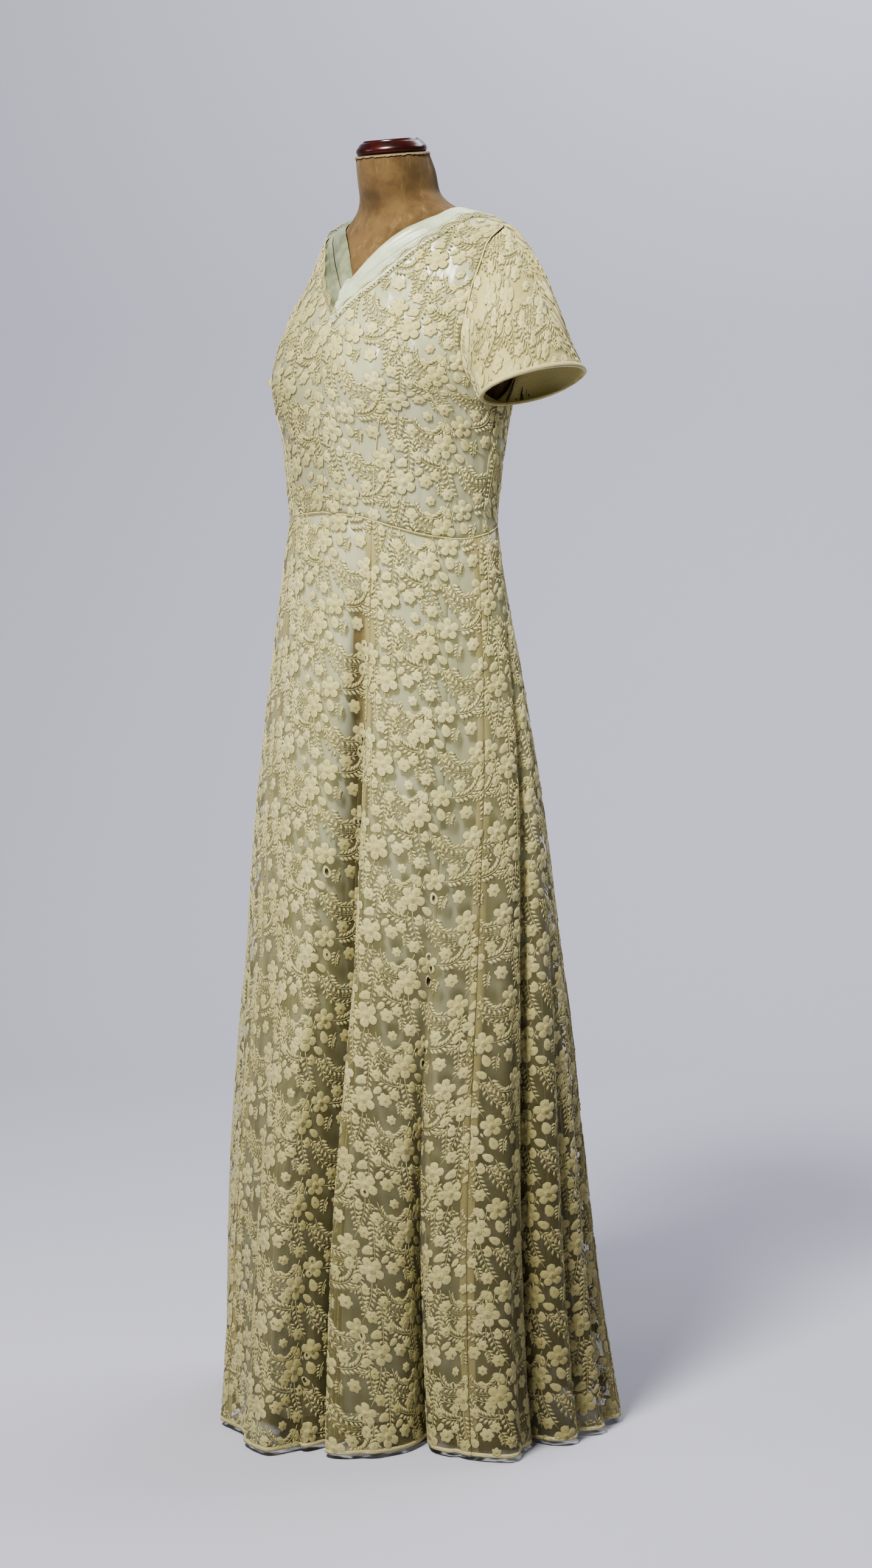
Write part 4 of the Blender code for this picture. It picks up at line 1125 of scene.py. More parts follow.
def sleeve_cloth(sleeve):
    """A sleeve as curves from the armhole to the cuff, closed under the arm."""
    rim, _, inward = armhole_loop(sleeve.side)
    middle = rim.mean(axis=0)
    turn = np.arctan2(rim[:, 1] - middle[1], rim[:, 2] - middle[2])
    over = (1.0 + np.cos(turn)) / 2.0
    x = sleeve.half_x * np.cos(turn)
    y = sleeve.half_y * np.sin(turn)
    z = sleeve.cuff_z + sleeve.lean_x * x + sleeve.lean_y * y
    cuff = np.stack([sleeve.side * (sleeve.cuff_x + x), sleeve.cuff_y + y, z], -1)
    away = sleeve_way(LEAVING, sleeve.side, over, turn)
    over_rim = np.minimum(np.sum(away * inward, axis=-1), 0.0)
    away = unit(away - inward * over_rim[:, None])
    down = sleeve_way(MEETING, sleeve.side, over, turn)
    root = rim + inward * ROOT_INSET
    short = REACH_SHARE * np.linalg.norm(cuff - root, axis=-1)
    leave = (short + (sleeve.leave - short) * over)[:, None]
    meet = (short + (sleeve.meet - short) * over)[:, None]
    shares = np.linspace(1.0, 0.0, SLEEVE_ROW_COUNT)[:, None, None]
    first = root + away * leave
    second = cuff - down * meet
    wall = root * (1 - shares) ** 3 + 3 * first * shares * (1 - shares) ** 2
    wall = wall + 3 * second * shares**2 * (1 - shares) + cuff * shares**3
    wall = np.roll(wall, 1 - LOOP_COUNT, axis=1)
    wall = np.concatenate([wall, wall[:, :1]], axis=1)
    return Cloth(wall[:, ::-1] if sleeve.side > 0 else wall)


def make_skirt(lace, looks):
    """Six gores of lace over a slip of as many panels."""
    for panel in SLIP_PANELS:
        cloth = skirt_cloth(panel, SLIP_LAYER)
        slip = lay_panel(f"{panel.name}_satin", cloth, LINING_OUT, SLIP_WALL, looks["lining"])
        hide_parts(panel.name)
        hem = lay_turned(f"{panel.name}_hem", cloth, SLIP_HEM, looks["lining"])
        declare(cloth)
    for gore in GORES:
        cloth = skirt_cloth(gore, LACE_LAYER)
        net = lay_panel(f"{gore.name}_net", cloth, NET_OUT, NET_WALL, looks["net"])
        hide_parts(gore.name)
        trims = [
            lay_flowers(f"{gore.name}_flowers", cloth, lace, looks["lace"], FLOWER_OUT),
            lay_turned(f"{gore.name}_hem", cloth, GORE_HEM, looks["tape"]),
            lay_seam(f"{gore.name}_seam_right", cloth, 0, looks["seam"]),
            lay_seam(f"{gore.name}_seam_left", cloth, -1, looks["seam"]),
        ]
        declare(cloth)


def lay_turned(name, cloth, turned, finish):
    """A turned edge along the bottom of a panel."""
    share = np.linspace(0.0, 1.0, cloth.columns)[None, :]
    rise = np.linspace(0.0, turned.deep, 3)[:, None] * np.ones_like(share)
    points = cloth.points[0] + cloth.normals[0] * turned.lift
    up = unit(cloth.points[1] - cloth.points[0])
    points = points[None] + up[None] * rise[..., None]
    flat = np.stack([cloth.across[0][None, :] + 0.0 * rise, rise], -1)
    piece = link(name, grid_mesh(name, points, flat), finish)
    thicken(piece, turned.wall, 0.0)
    return piece


def lay_seam(name, cloth, edge, finish):
    """The turned seam allowance that shows through the lace along one edge of a gore."""
    way = -1.0 if edge else 1.0
    numbers = np.arange(cloth.columns)
    offsets = way * SEAM_ALLOWANCE * np.array([0.0, 0.5, 1.0])
    places = np.array([np.interp(line[edge] + offsets, line, numbers) for line in cloth.across])
    row = np.repeat(np.arange(cloth.rows, dtype=float)[:, None], len(offsets), axis=1)
    if edge:
        places = places[:, ::-1]
    points = read_grid(cloth.points, row, places)
    points = points + read_grid(cloth.normals, row, places) * SEAM_ALLOWANCE_OUT
    flat = np.stack([read_grid(cloth.across, row, places), read_grid(cloth.height, row, places)], -1)
    piece = link(name, grid_mesh(name, points, flat), finish)
    thicken(piece, SEAM_ALLOWANCE_WALL)
    return piece


def make_bodice(lace, looks):
    for side, word in SIDES:
        dress_panel(f"bodice_{{}}_front_{word}", front_cloth(side), lace, looks, (0.012 * side, 0.012))
    dress_panel("bodice_{}_back", back_cloth(), lace, looks, (0.0, 0.012))


def dress_panel(node, cloth, lace, looks, start):
    """A panel of the bodice in satin, net and flowers."""
    name = node.replace("_{}", "")
    satin = lay_panel(f"{name}_satin", cloth, LINING_OUT, LINING_WALL, looks["lining"])
    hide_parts(node.format("lining"))
    declare(cloth)
    net = lay_panel(f"{name}_net", cloth, NET_OUT, NET_WALL, looks["net"])
    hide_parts(node.format("lace"))
    flowers = lay_flowers(f"{name}_flowers", cloth, lace, looks["lace"], FLOWER_OUT, start)
    declare(cloth)


def make_sleeves(lace, looks):
    for sleeve in SLEEVES:
        word = "left" if sleeve.side > 0 else "right"
        cloth = sleeve_cloth(sleeve)
        satin = lay_panel(f"sleeve_{word}_satin", cloth, LINING_OUT, LINING_WALL, looks["sleeve_lining"])
        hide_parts(f"sleeve_lining_{word}")
        declare(cloth)
        net = lay_panel(f"sleeve_{word}_net", cloth, NET_OUT, NET_WALL, looks["net"])
        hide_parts(f"sleeve_lace_{word}")
        flowers = lay_flowers(f"sleeve_{word}_flowers", cloth, lace, looks["lace"], FLOWER_OUT, (0.0, -0.02))
        cuff = lay_turned(f"sleeve_{word}_cuff", cloth, CUFF, looks["tape"])
        declare(cloth)


def lay_cord(name, path, normals, radius, finish, sides=6):
    """A sewn line as a thin tube along a path, with closed ends or closed on itself."""
    closed = np.linalg.norm(path[0] - path[-1]) < 1e-6
    ahead = np.gradient(path, axis=0)
    if closed:
        ahead[0] = ahead[-1] = path[1] - path[-2]
    ahead = unit(ahead)
    aside = unit(np.cross(ahead, normals))
    above = np.cross(aside, ahead)
    turn = math.tau * np.arange(sides + 1)[:, None, None] / sides
    rings = path[None] + radius * (np.cos(turn) * aside[None] + np.sin(turn) * above[None])
    rings[-1] = rings[0]
    mesh = grid_mesh(name, rings, np.zeros(rings.shape[:2] + (2,)))
    close_mesh(mesh, radius * 0.01)
    link(name, mesh, finish)


# The folds along a band: the place and width as shares of its height, how far the place drifts, how
# high the fold is, and where it swells.
Fold = namedtuple("Fold", "place drift width rise phase")
OUTER_FOLDS = [
    Fold(0.20, 0.05, 0.08, 0.0022, 10.0),
    Fold(0.50, 0.08, 0.07, 0.0026, 60.0),
    Fold(0.80, 0.05, 0.06, 0.0018, 140.0),
]
INNER_FOLDS = [
    Fold(0.30, 0.06, 0.10, 0.0018, 30.0),
    Fold(0.68, 0.08, 0.10, 0.0022, 95.0),
]

# How a folded strip of satin lies: the lines of the neckline that it reaches from and to, its folds,
# where it starts, how far out it lies, its gaps to both lines, and how much it rolls in at the top.
Band = namedtuple("Band", "name side low high folds start lift low_gap high_gap roll look")
BANDS = [
    Band("neck_band_outer_left", 1, "lace", "fold", OUTER_FOLDS,
         BAND_CROSS, 0.0014, 0.0003, 0.0, 0.0004, "satin"),
    Band("neck_band_inner_left", 1, "fold", "opening", INNER_FOLDS,
         BAND_CROSS, 0.0014, 0.0003, 0.0, 0.0030, "satin"),
    # The right bands lie under the left ones and take the satin with painted shade.
    Band("neck_band_outer_right", -1, "lace", "fold", OUTER_FOLDS,
         BAND_GAP, -0.0010, 0.0003, 0.0012, 0.0006, "satin_shaded"),
    Band("neck_band_inner_right", -1, "fold", "opening", INNER_FOLDS,
         BAND_GAP, -0.0018, 0.0010, 0.0, 0.0024, "satin_shaded"),
]


def make_neck_bands(looks):
    """Two folds of satin on each side, rounded at their edges. The left ones cross over the right."""
    share = eased_shares(BAND_ROWS)[:, None]
    for band in BANDS:
        quarter = (180.0 - BAND_GAP - band.start) * np.linspace(0.0, 1.0, BAND_COLUMNS) ** 1.25
        quarter = band.start + quarter
        read = np.maximum(quarter, 0.0)
        low = neck_edge(band.low, read) + band.low_gap
        high = neck_edge(band.high, read) - band.high_gap
        height = low[None, :] + (high - low)[None, :] * share
        out = band.lift + BAND_PUFF * (1.0 - np.abs(2.0 * share - 1.0) ** 4) - band.roll * share**2
        for fold in band.folds:
            drift = fold.place + fold.drift * np.sin(np.radians(1.6 * quarter + fold.phase))
            swell = 0.55 + 0.45 * np.cos(np.radians(2.3 * quarter + 2.0 * fold.phase))
            out = out + fold.rise * swell * np.exp(-(((share - drift) / fold.width) ** 2))
        # Past the middle of the front, a band goes on by as many degrees.
        angle = angle_of(read, height, band.side) + band.side * np.minimum(quarter, 0.0)
        points = body_point(angle, height, out)
        cloth = Cloth(points if band.side > 0 else points[:, ::-1])
        piece = lay_panel(f"{band.name}_satin", cloth, 0.0, BAND_WALL, looks[band.look])
        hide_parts(band.name)
        declare(cloth)


def edge_cloth(side):
    """A strip of lace along the neckline, from inside the bodice's lace out over the satin."""
    quarter = np.linspace(1.0, 179.0, 260)
    height = neck_edge("lace", quarter)
    angle = angle_of(quarter, height, side)
    edge = body_point(angle, height)
    normal = unit(body_point(angle, height, MM) - edge)
    over = unit(np.cross(normal, np.gradient(edge, axis=0)) * side)
    reach = np.linspace(-EDGE_INSIDE, EDGE_OVER, 9)[:, None, None] * MM
    lift = np.interp(reach, [-EDGE_INSIDE * MM, 0.0, EDGE_OVER * MM], EDGE_LIFTS)
    points = edge[None] + over[None] * reach + normal[None] * lift
    return Cloth(points if side > 0 else points[:, ::-1])


def scallop(x):
    """How far the lace's edge reaches over the satin, in millimetres, along the neckline."""
    lobe = np.abs(np.sin(math.pi * x / SCALLOP_WIDE))
    ruffle = np.abs(np.sin(4.0 * math.pi * x / SCALLOP_WIDE))
    return 2.6 + 5.2 * lobe**0.8 + 0.7 * ruffle


def make_edge_repeat():
    """One scallop: two cords along its edge, a row of looped threads and a sprig inside it."""
    lace = LaceRepeat(SCALLOP_WIDE, 10.0 * EDGE_OVER)
    x = np.linspace(0.0, SCALLOP_WIDE, 15)
    rise = scallop(x)
    lace.add_cord(np.stack([x, EDGE_OVER - rise], -1), 0.55)
    lace.add_cord(np.stack([x, EDGE_OVER - rise + 2.4], -1), 0.42)
    ahead = np.gradient(np.stack([x, -rise], -1), axis=0)
    for spot in np.arange(1.0, SCALLOP_WIDE, 2.0):
        heading = unit(np.array([np.interp(spot, x, ahead[:, 0]), np.interp(spot, x, ahead[:, 1])]))
        out = np.array([heading[1], -heading[0]]) + 0.25 * heading
        root = np.array([spot, EDGE_OVER - float(scallop(spot))])
        lace.add_cord([root, root + out * 3.6], 0.30)
    for along, turn in ((5.0, 30.0), (9.5, 60.0), (14.0, 90.0), (18.5, 120.0), (23.0, 150.0)):
        lace.add(LEAF, along, EDGE_OVER - float(scallop(along)) + 5.6, 2.3, 1.2, 0.8, turn)
    lace.finish()
    return lace


def make_neck_edges(looks):
    edge_lace = make_edge_repeat()
    for side, word in SIDES:
        cloth = edge_cloth(side)
        x = np.linspace(cloth.across[0, 0], cloth.across[0, -1], EDGE_COLUMNS)
        top = EDGE_OVER * MM - scallop(x / MM) * MM
        bottom = (EDGE_OVER + EDGE_INSIDE) * MM
        y = bottom + (top - bottom)[None, :] * np.linspace(0.0, 1.0, 5)[:, None]
        x = np.broadcast_to(x, y.shape)
        name = f"neck_edge_{word}_net"
        mesh = grid_mesh(name, cloth.put(x, y, 0.0 * x), np.stack([x, y], -1))
        net = link(name, mesh, looks["net"])
        thicken(net, EDGE_NET_WALL, 0.0)
        threads = lay_flowers(f"neck_edge_{word}_threads", cloth, edge_lace, looks["lace"], EDGE_THREAD_OUT)


# Darts, as places on the body: the angle from the front and the height.
Dart = namedtuple("Dart", "name places")
DARTS = [
    Dart("bust", ((51, 1.203), (56, 1.192), (61, 1.176), (68, 1.149), (76, 1.133), (86, 1.121))),
    Dart("waist", ((37, 1.166), (34, 1.140), (32, 1.110), (31, 1.085), (29, 1.058), (28.4, 1.052))),
    Dart("back", ((151, 1.190), (149, 1.150), (148, 1.110), (147.5, 1.080), (147, 1.062), (147, 1.056))),
]


def make_seams(looks):
    """The sewn lines that stand a little proud of the lace: darts, armholes and the waist."""
    for side, word in SIDES:
        for dart in DARTS:
            places = np.array(dart.places, float)
            numbers = np.arange(len(places))
            steps = np.linspace(0.0, len(places) - 1.0, 40)
            angle = side * read_smoothly(numbers, places[:, 0], steps)
            height = read_smoothly(numbers, places[:, 1], steps)
            path = body_point(angle, height, SEAM_OUT)
            normals = body_point(angle, height, SEAM_OUT + MM) - path
            lay_cord(f"dart_{dart.name}_{word}", path, normals, DART_RADIUS, looks["tape"])
        rim, outward, inward = armhole_loop(side)
        path = rim + outward * SEAM_OUT + inward * ARMHOLE_SEAM_INSET
        path = np.concatenate([path, path[:1]])
        normals = np.concatenate([outward, outward[:1]])
        lay_cord(f"armhole_seam_{word}", path, normals, ARMHOLE_SEAM_RADIUS, looks["tape"])
    angle = np.linspace(-180.0, 180.0, 241)
    height = waist_height(np.abs(angle))
    path = body_point(angle, height, SEAM_OUT - WAIST_SEAM_SINK)
    path[-1] = path[0]
    normals = body_point(angle, height, SEAM_OUT + MM) - body_point(angle, height)
    lay_cord("waist_seam", path, normals, WAIST_SEAM_RADIUS, looks["tape"])


def form_point(angle, height, out=0.0):
    """A point on the padded form, whose neck slopes down to the front at its top."""
    room = column(FORM_ROOM, "height", "room", height)
    points = body_point(angle, height, out - room, FORM_CUP_SHARE)
    slope = np.clip((height - NECK_SLOPE_FROM) / (NECK_TOP - NECK_SLOPE_FROM), 0.0, 1.0)
    points[..., 2] = height + NECK_SLOPE * slope * points[..., 1]
    return points


def make_cover(looks):
    """The padded form in its cover."""
    heights = np.concatenate([np.linspace(FORM_BOTTOM, 1.33, 26), np.linspace(1.34, NECK_TOP, 50)])
    angle, height = np.meshgrid(np.linspace(-180.0, 180.0, 73), heights)
    points = form_point(angle, height)
    points[:, -1] = points[:, 0]
    mesh = grid_mesh("form_cover", points, np.stack([angle / 360.0, height], -1))
    close_mesh(mesh, 1e-6)
    cover = link("form_cover", mesh, looks["form_cloth"])
    mesh.set_sharp_from_angle(angle=math.radians(50))
    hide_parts("form_torso")


def make_fray(looks):
    """The frayed edge of the form's cover under the neck cap."""
    chance = np.random.default_rng(7)
    angle = np.broadcast_to(np.linspace(-180.0, 180.0, FRAY_COLUMNS), (4, FRAY_COLUMNS))
    ragged = np.convolve(chance.uniform(0.2, 1.0, FRAY_COLUMNS), [0.25, 0.5, 0.25], mode="same")
    ragged[-1] = ragged[0]
    height = NECK_TOP - FRAY_OUT - FRAY_DEEP * ragged[None, :] * np.linspace(1.0, 0.0, 4)[:, None]
    mesh = grid_mesh("form_cover_edge", form_point(angle, height, FRAY_OUT), np.stack([angle, height], -1))
    fray = link("form_cover_edge", mesh, looks["fray"])
    thicken(fray, FRAY_WALL)


# The turned neck cap's outline, as radius and rise, from the middle of its top round to its foot.
CAP_PROFILE = [
    (0.0, 0.0155), (0.0200, 0.0157), (0.0280, 0.0164), (0.0310, 0.0165), (0.0318, 0.0158),
    (0.0322, 0.0147), (0.0345, 0.0138), (0.0362, 0.0125), (0.0380, 0.0098), (0.0396, 0.0082),
    (0.0405, 0.0062), (0.0406, 0.0038), (0.0398, 0.0018), (0.0385, 0.0004), (0.0, 0.0004),
]


def sort_faces(bm):
    """Puts a turned body's faces in the order of their corners, because turning leaves it open."""
    bm.verts.index_update()
    count = len(bm.verts)

    def corner_number(face):
        numbers = [corner.index for corner in face.verts]
        return min(numbers) * count + max(numbers)

    bm.faces.sort(key=corner_number)


def make_cap(looks):
    """The neck cap, turned from its outline and set on the slope of the neck."""
    bm = bmesh.new()
    turned = [bm.verts.new((radius, 0.0, rise)) for radius, rise in CAP_PROFILE]
    for pair in zip(turned, turned[1:]):
        bm.edges.new(pair)
    bmesh.ops.spin(bm, geom=bm.verts[:] + bm.edges[:], axis=(0, 0, 1), cent=(0, 0, 0), angle=math.tau,
                   steps=72, use_merge=True)
    bmesh.ops.remove_doubles(bm, verts=bm.verts, dist=1e-6)
    bmesh.ops.recalc_face_normals(bm, faces=bm.faces)
    sort_faces(bm)
    tilt = Matrix.Translation((0.0, 0.0, NECK_TOP)) @ Matrix.Rotation(math.atan(NECK_SLOPE), 4, "X")
    bmesh.ops.transform(bm, matrix=tilt, verts=bm.verts)
    mesh = bpy.data.meshes.new("neck_cap_turned")
    bm.to_mesh(mesh)
    bm.free()
    cap = link("neck_cap_turned", mesh, looks["wood"])
    mesh.set_sharp_from_angle(angle=math.radians(35))
    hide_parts("neck_cap")


def make_form(looks):
    """The padded form with its neck cap. Its pole and base keep their own shapes."""
    make_cover(looks)
    make_fray(looks)
    make_cap(looks)
    for name, finish in (("stand_pole", "wood"), ("stand_base", "iron")):
        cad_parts[name].material_slots[0].material = looks[finish]


# Colours, as sRGB
CREAM = (207, 197, 134)
PALE_CREAM = (228, 218, 162)
# Painted shade for the lace's threads and net: low down, at the sides and in the deep fold
THREAD_SHADE = (124, 112, 62)
# Painted shade at the foot of each flower, where it meets the cloth
FLOWER_FOOT_SHADE = (92, 80, 42)
TAPE_CREAM = (196, 184, 128)
TAPE_PALE = (212, 202, 152)
TURNED_CREAM = (186, 170, 116)
LINING_GREEN = (172, 178, 152)
LINING_PALE = (206, 209, 192)
# Painted shade for the lining and slip: low down, at the sides and in the deep fold
SLIP_SHADE = (44, 37, 18)
SLEEVE_CREAM = (196, 184, 122)
SLEEVE_PALE = (210, 200, 146)
SATIN_WHITE = (198, 206, 174)
SATIN_GREY = (146, 152, 122)
# Painted shade: a darker copy of the band satin for the bands that lie under the others
SATIN_SHADED = (146, 152, 124)
SATIN_DEEP_SHADE = (88, 94, 68)
COVER_BROWN = (82, 64, 40)
COVER_PALE = (116, 92, 60)
FRAYED = (176, 154, 112)
FRAYED_DARK = (150, 124, 88)
CAP_RED = (60, 12, 6)
CAP_DARK = (24, 7, 5)
IRON_BLACK = (24, 24, 26)
BACKGROUND = (192, 192, 203)

# The net's pitch, and half the width of its threads as a share of that
NET_PITCH = 0.0015
NET_THREAD = 0.046
SEAM_THREAD = 0.20
STITCH_WANDER = 5.0

# Where shade is painted on the cloth, as spans on the object from none to all: round to the left, into
# the deep fold and down from its top, and on the right of the bodice
LEFT_SPAN = (0.02, 0.18)
FOLD_SPAN = (0.014, 0.004)
FOLD_FRONT_SPAN = (-0.02, -0.06)
FOLD_TOP_SPAN = (1.0, 0.90)
RIGHT_SPAN = (-0.03, -0.14)
BODICE_SPAN = (1.03, 1.10)
BODICE_SHADE = 0.38

# How much painted shade a layer of the skirt gets: the heights between which it darkens, how much it
# does so in front and on the left, and how much inside the deep fold.
Shade = namedtuple("Shade", "top bottom front side fold")
LACE_SHADE = Shade(0.95, 0.15, 0.32, 0.66, 0.50)
NET_SHADE = Shade(0.95, 0.15, 0.50, 0.85, 0.80)
LINING_SHADE = Shade(0.96, 0.30, 0.66, 0.96, 0.97)

# Woven cloths: the two colours that each varies between, its roughness and sheen, its threads to the
# metre and their depth, and the scale and amount of the variation. The lining has puckers instead.
Weave = namedtuple("Weave", "colour other roughness sheen lines depth scale amount", defaults=(14.0, 0.7))
LACE_WEAVE = Weave(CREAM, PALE_CREAM, 0.62, 0.25, 2400.0, 0.00006, 22.0)
TAPE_WEAVE = Weave(TAPE_CREAM, TAPE_PALE, 0.65, 0.2, 700.0, 0.0002)
LINING_WEAVE = Weave(LINING_GREEN, LINING_PALE, 0.32, 0.1, 0.0, 0.0, 5.0)
SLEEVE_WEAVE = Weave(SLEEVE_CREAM, SLEEVE_PALE, 0.5, 0.2, 620.0, 0.00015, 9.0)
SATIN_WEAVE = Weave(SATIN_WHITE, SATIN_GREY, 0.26, 0.1, 1100.0, 0.00004, 18.0, 0.8)
SHADED_WEAVE = Weave(SATIN_SHADED, SATIN_DEEP_SHADE, 0.3, 0.1, 1100.0, 0.00004, 24.0, 0.9)
FRAYED_WEAVE = Weave(FRAYED, FRAYED_DARK, 0.9, 0.2, 500.0, 0.0003, 160.0)


def srgb(colour):
    """A colour from sRGB bytes to linear light."""
    shares = [part / 255.0 for part in colour]
    return tuple([s / 12.92 if s <= 0.04045 else ((s + 0.055) / 1.055) ** 2.4 for s in shares] + [1.0])


class Tree:
    """A short way to write a node tree down."""

    def __init__(self, tree):
        self.tree = tree

    def add(self, kind, inputs=None, **settings):
        node = self.tree.nodes.new(kind)
        for name, value in settings.items():
            setattr(node, name, value)
        for name, value in (inputs or {}).items():
            socket = node.inputs[name]
            if isinstance(value, bpy.types.NodeSocket):
                self.join(value, socket)
            else:
                socket.default_value = value
        return node

    def join(self, value, socket):
        self.tree.links.new(value, socket)

    def place(self):
        """The place on the object."""
        return self.add("ShaderNodeTexCoord").outputs["Object"]

    def flat_place(self):
        """The place on the flat cut."""
        return self.add("ShaderNodeUVMap", uv_map="Flat").outputs[0]

    def parts(self, vector):
        return self.add("ShaderNodeSeparateXYZ", {0: vector}).outputs

    def stretch(self, vector, scales):
        return self.add("ShaderNodeVectorMath", {0: vector, 1: scales}, operation="MULTIPLY").outputs[0]

    def noise(self, place, scale, detail, **more):
        inputs = {"Vector": place, "Scale": scale, "Detail": detail, **more}
        return self.add("ShaderNodeTexNoise", inputs).outputs[0]

    def math(self, operation, first, second=0.0, third=0.0):
        return self.add("ShaderNodeMath", {0: first, 1: second, 2: third}, operation=operation).outputs[0]

    def mix(self, factor, first, second):
        inputs = {0: factor, 6: first, 7: second}
        return self.add("ShaderNodeMix", inputs, data_type="RGBA").outputs[2]

    def span(self, value, low, high, out_low=0.0, out_high=1.0):
        inputs = {"Value": value, "From Min": low, "From Max": high, "To Min": out_low, "To Max": out_high}
        return self.add("ShaderNodeMapRange", inputs, interpolation_type="SMOOTHSTEP").outputs[0]

    def group(self, group, **inputs):
        return self.add("ShaderNodeGroup", inputs, node_tree=group).outputs


class Look(Tree):
    """A material, written down as its tree."""

    def __init__(self, name):
        self.material = bpy.data.materials.new(name)
        self.material.use_nodes = True
        super().__init__(self.material.node_tree)
        self.shader = self.tree.nodes["Principled BSDF"]
        self.colour = None

    def set(self, **values):
        for name, value in values.items():
            self.shader.inputs[name.replace("_", " ")].default_value = value

    def paint(self, colour):
        self.colour = colour
        self.join(colour, self.shader.inputs["Base Color"])

    def cut_out(self, alpha):
        self.join(alpha, self.shader.inputs["Alpha"])

    def bump(self, height, distance, strength=1.0):
        inputs = {"Height": height, "Distance": distance, "Strength": strength}
        self.join(self.add("ShaderNodeBump", inputs).outputs[0], self.shader.inputs["Normal"])


def start_group(name, inputs, outputs):
    group = bpy.data.node_groups.new(name, "ShaderNodeTree")
    for label, kind in inputs.items():
        group.interface.new_socket(label, in_out="INPUT", socket_type=f"NodeSocket{kind}")
    for label, kind in outputs.items():
        group.interface.new_socket(label, in_out="OUTPUT", socket_type=f"NodeSocket{kind}")
    tree = Tree(group)
    return group, tree, tree.add("NodeGroupInput").outputs, tree.add("NodeGroupOutput").inputs


def mottle_group():
    """A colour that varies slowly over the object, as old cloth and wood do."""
    group, tree, given, wanted = start_group(
        "Mottle",
        {"Colour": "Color", "Other": "Color", "Scale": "Float", "Amount": "Float"},
        {"Colour": "Color"},
    )
    noise = tree.noise(tree.place(), given["Scale"], 4.0, Roughness=0.62)
    amount = tree.math("MULTIPLY", tree.span(noise, 0.34, 0.68), given["Amount"])
    tree.join(tree.mix(amount, given["Colour"], given["Other"]), wanted["Colour"])
    return group


def net_group():
    """The hexagonal mesh of a net, 1 on its threads and 0 in its holes, on the flat cut."""
    group, tree, given, wanted = start_group(
        "Hexagon net", {"Pitch": "Float", "Thread": "Float"}, {"Thread": "Float"}
    )
    inverse = tree.math("DIVIDE", 1.0, given["Pitch"])
    inputs = {0: tree.flat_place(), "Scale": inverse}
    parts = tree.parts(tree.add("ShaderNodeVectorMath", inputs, operation="SCALE").outputs[0])
    across, along = parts[0], tree.math("DIVIDE", parts[1], math.sqrt(3.0))
    nearest = []
    for shift in (0.0, 0.5):
        x = tree.math("SUBTRACT", tree.math("FRACT", tree.math("ADD", across, shift)), 0.5)
        y = tree.math("SUBTRACT", tree.math("FRACT", tree.math("ADD", along, shift)), 0.5)
        x = tree.math("ABSOLUTE", x)
        y = tree.math("MULTIPLY", tree.math("ABSOLUTE", y), math.sqrt(3.0))
        slant = tree.math("ADD", tree.math("MULTIPLY", x, 0.5), tree.math("MULTIPLY", y, math.sqrt(0.75)))
        nearest.append(tree.math("MAXIMUM", x, slant))
    gap = tree.math("MINIMUM", *nearest)
    edge = tree.math("SUBTRACT", 0.5, given["Thread"])
    tree.join(tree.math("GREATER_THAN", gap, edge), wanted["Thread"])
    return group


def thread_group():
    """The height of satin stitches: fine parallel threads across the flat cut."""
    group, tree, given, wanted = start_group(
        "Stitches", {"Lines": "Float", "Wander": "Float"}, {"Height": "Float"}
    )
    place = tree.flat_place()
    sway = tree.math("MULTIPLY", tree.noise(place, 160.0, 2.0), given["Wander"])
    turns = tree.math("MULTIPLY", tree.parts(place)[1], tree.math("MULTIPLY", given["Lines"], math.tau))
    tree.join(tree.math("SINE", tree.math("ADD", turns, sway)), wanted["Height"])
    return group


def cloth_look(name, groups, weave):
    """An opaque woven cloth, with fine threads across it where it has lines."""
    look = Look(name)
    mottle = look.group(groups["mottle"], Colour=srgb(weave.colour), Other=srgb(weave.other),
                        Scale=weave.scale, Amount=weave.amount)
    look.paint(mottle["Colour"])
    look.set(Roughness=weave.roughness, Sheen_Weight=weave.sheen, Sheen_Roughness=0.4)
    if weave.lines:
        stitches = look.group(groups["stitches"], Lines=weave.lines, Wander=STITCH_WANDER)
        look.bump(stitches["Height"], weave.depth)
    return look


def shade_share(tree, place, shade):
    """How much shade is painted on the cloth: more so low down, on the left of the skirt and the right of
    the bodice, and inside the deep fold in front."""
    across, along, height = tree.parts(place)
    aside = tree.math("MULTIPLY_ADD", along, 0.74, tree.math("MULTIPLY", across, 0.67))
    low = tree.math("MULTIPLY", tree.span(height, shade.top, shade.bottom),
                    tree.span(aside, *LEFT_SPAN, shade.front, shade.side))
    off = tree.math("ABSOLUTE", tree.math("SUBTRACT", across, FOLD_ACROSS))
    inside = tree.math("MULTIPLY", tree.span(off, *FOLD_SPAN, 0.0, shade.fold),
                       tree.span(along, *FOLD_FRONT_SPAN))
    inside = tree.math("MULTIPLY", inside, tree.span(height, *FOLD_TOP_SPAN))
    turned = tree.math("MULTIPLY", tree.span(aside, *RIGHT_SPAN, 0.0, BODICE_SHADE),
                       tree.span(height, *BODICE_SPAN))
    return tree.math("MAXIMUM", tree.math("MAXIMUM", low, turned), inside)


def lace_look(groups):
    """The lace's threads, with painted shade at the foot of each flower, low down, at the sides and in the
    fold.
    """
    look = cloth_look("Lace threads", groups, LACE_WEAVE)
    rise = look.add("ShaderNodeAttribute", attribute_name="Rise").outputs["Fac"]
    lifted = look.span(rise, 0.0, 0.55)
    shade_toned = look.mix(shade_share(look, look.place(), LACE_SHADE), look.colour, srgb(THREAD_SHADE))
    look.paint(look.mix(lifted, srgb(FLOWER_FOOT_SHADE), shade_toned))
    return look.material


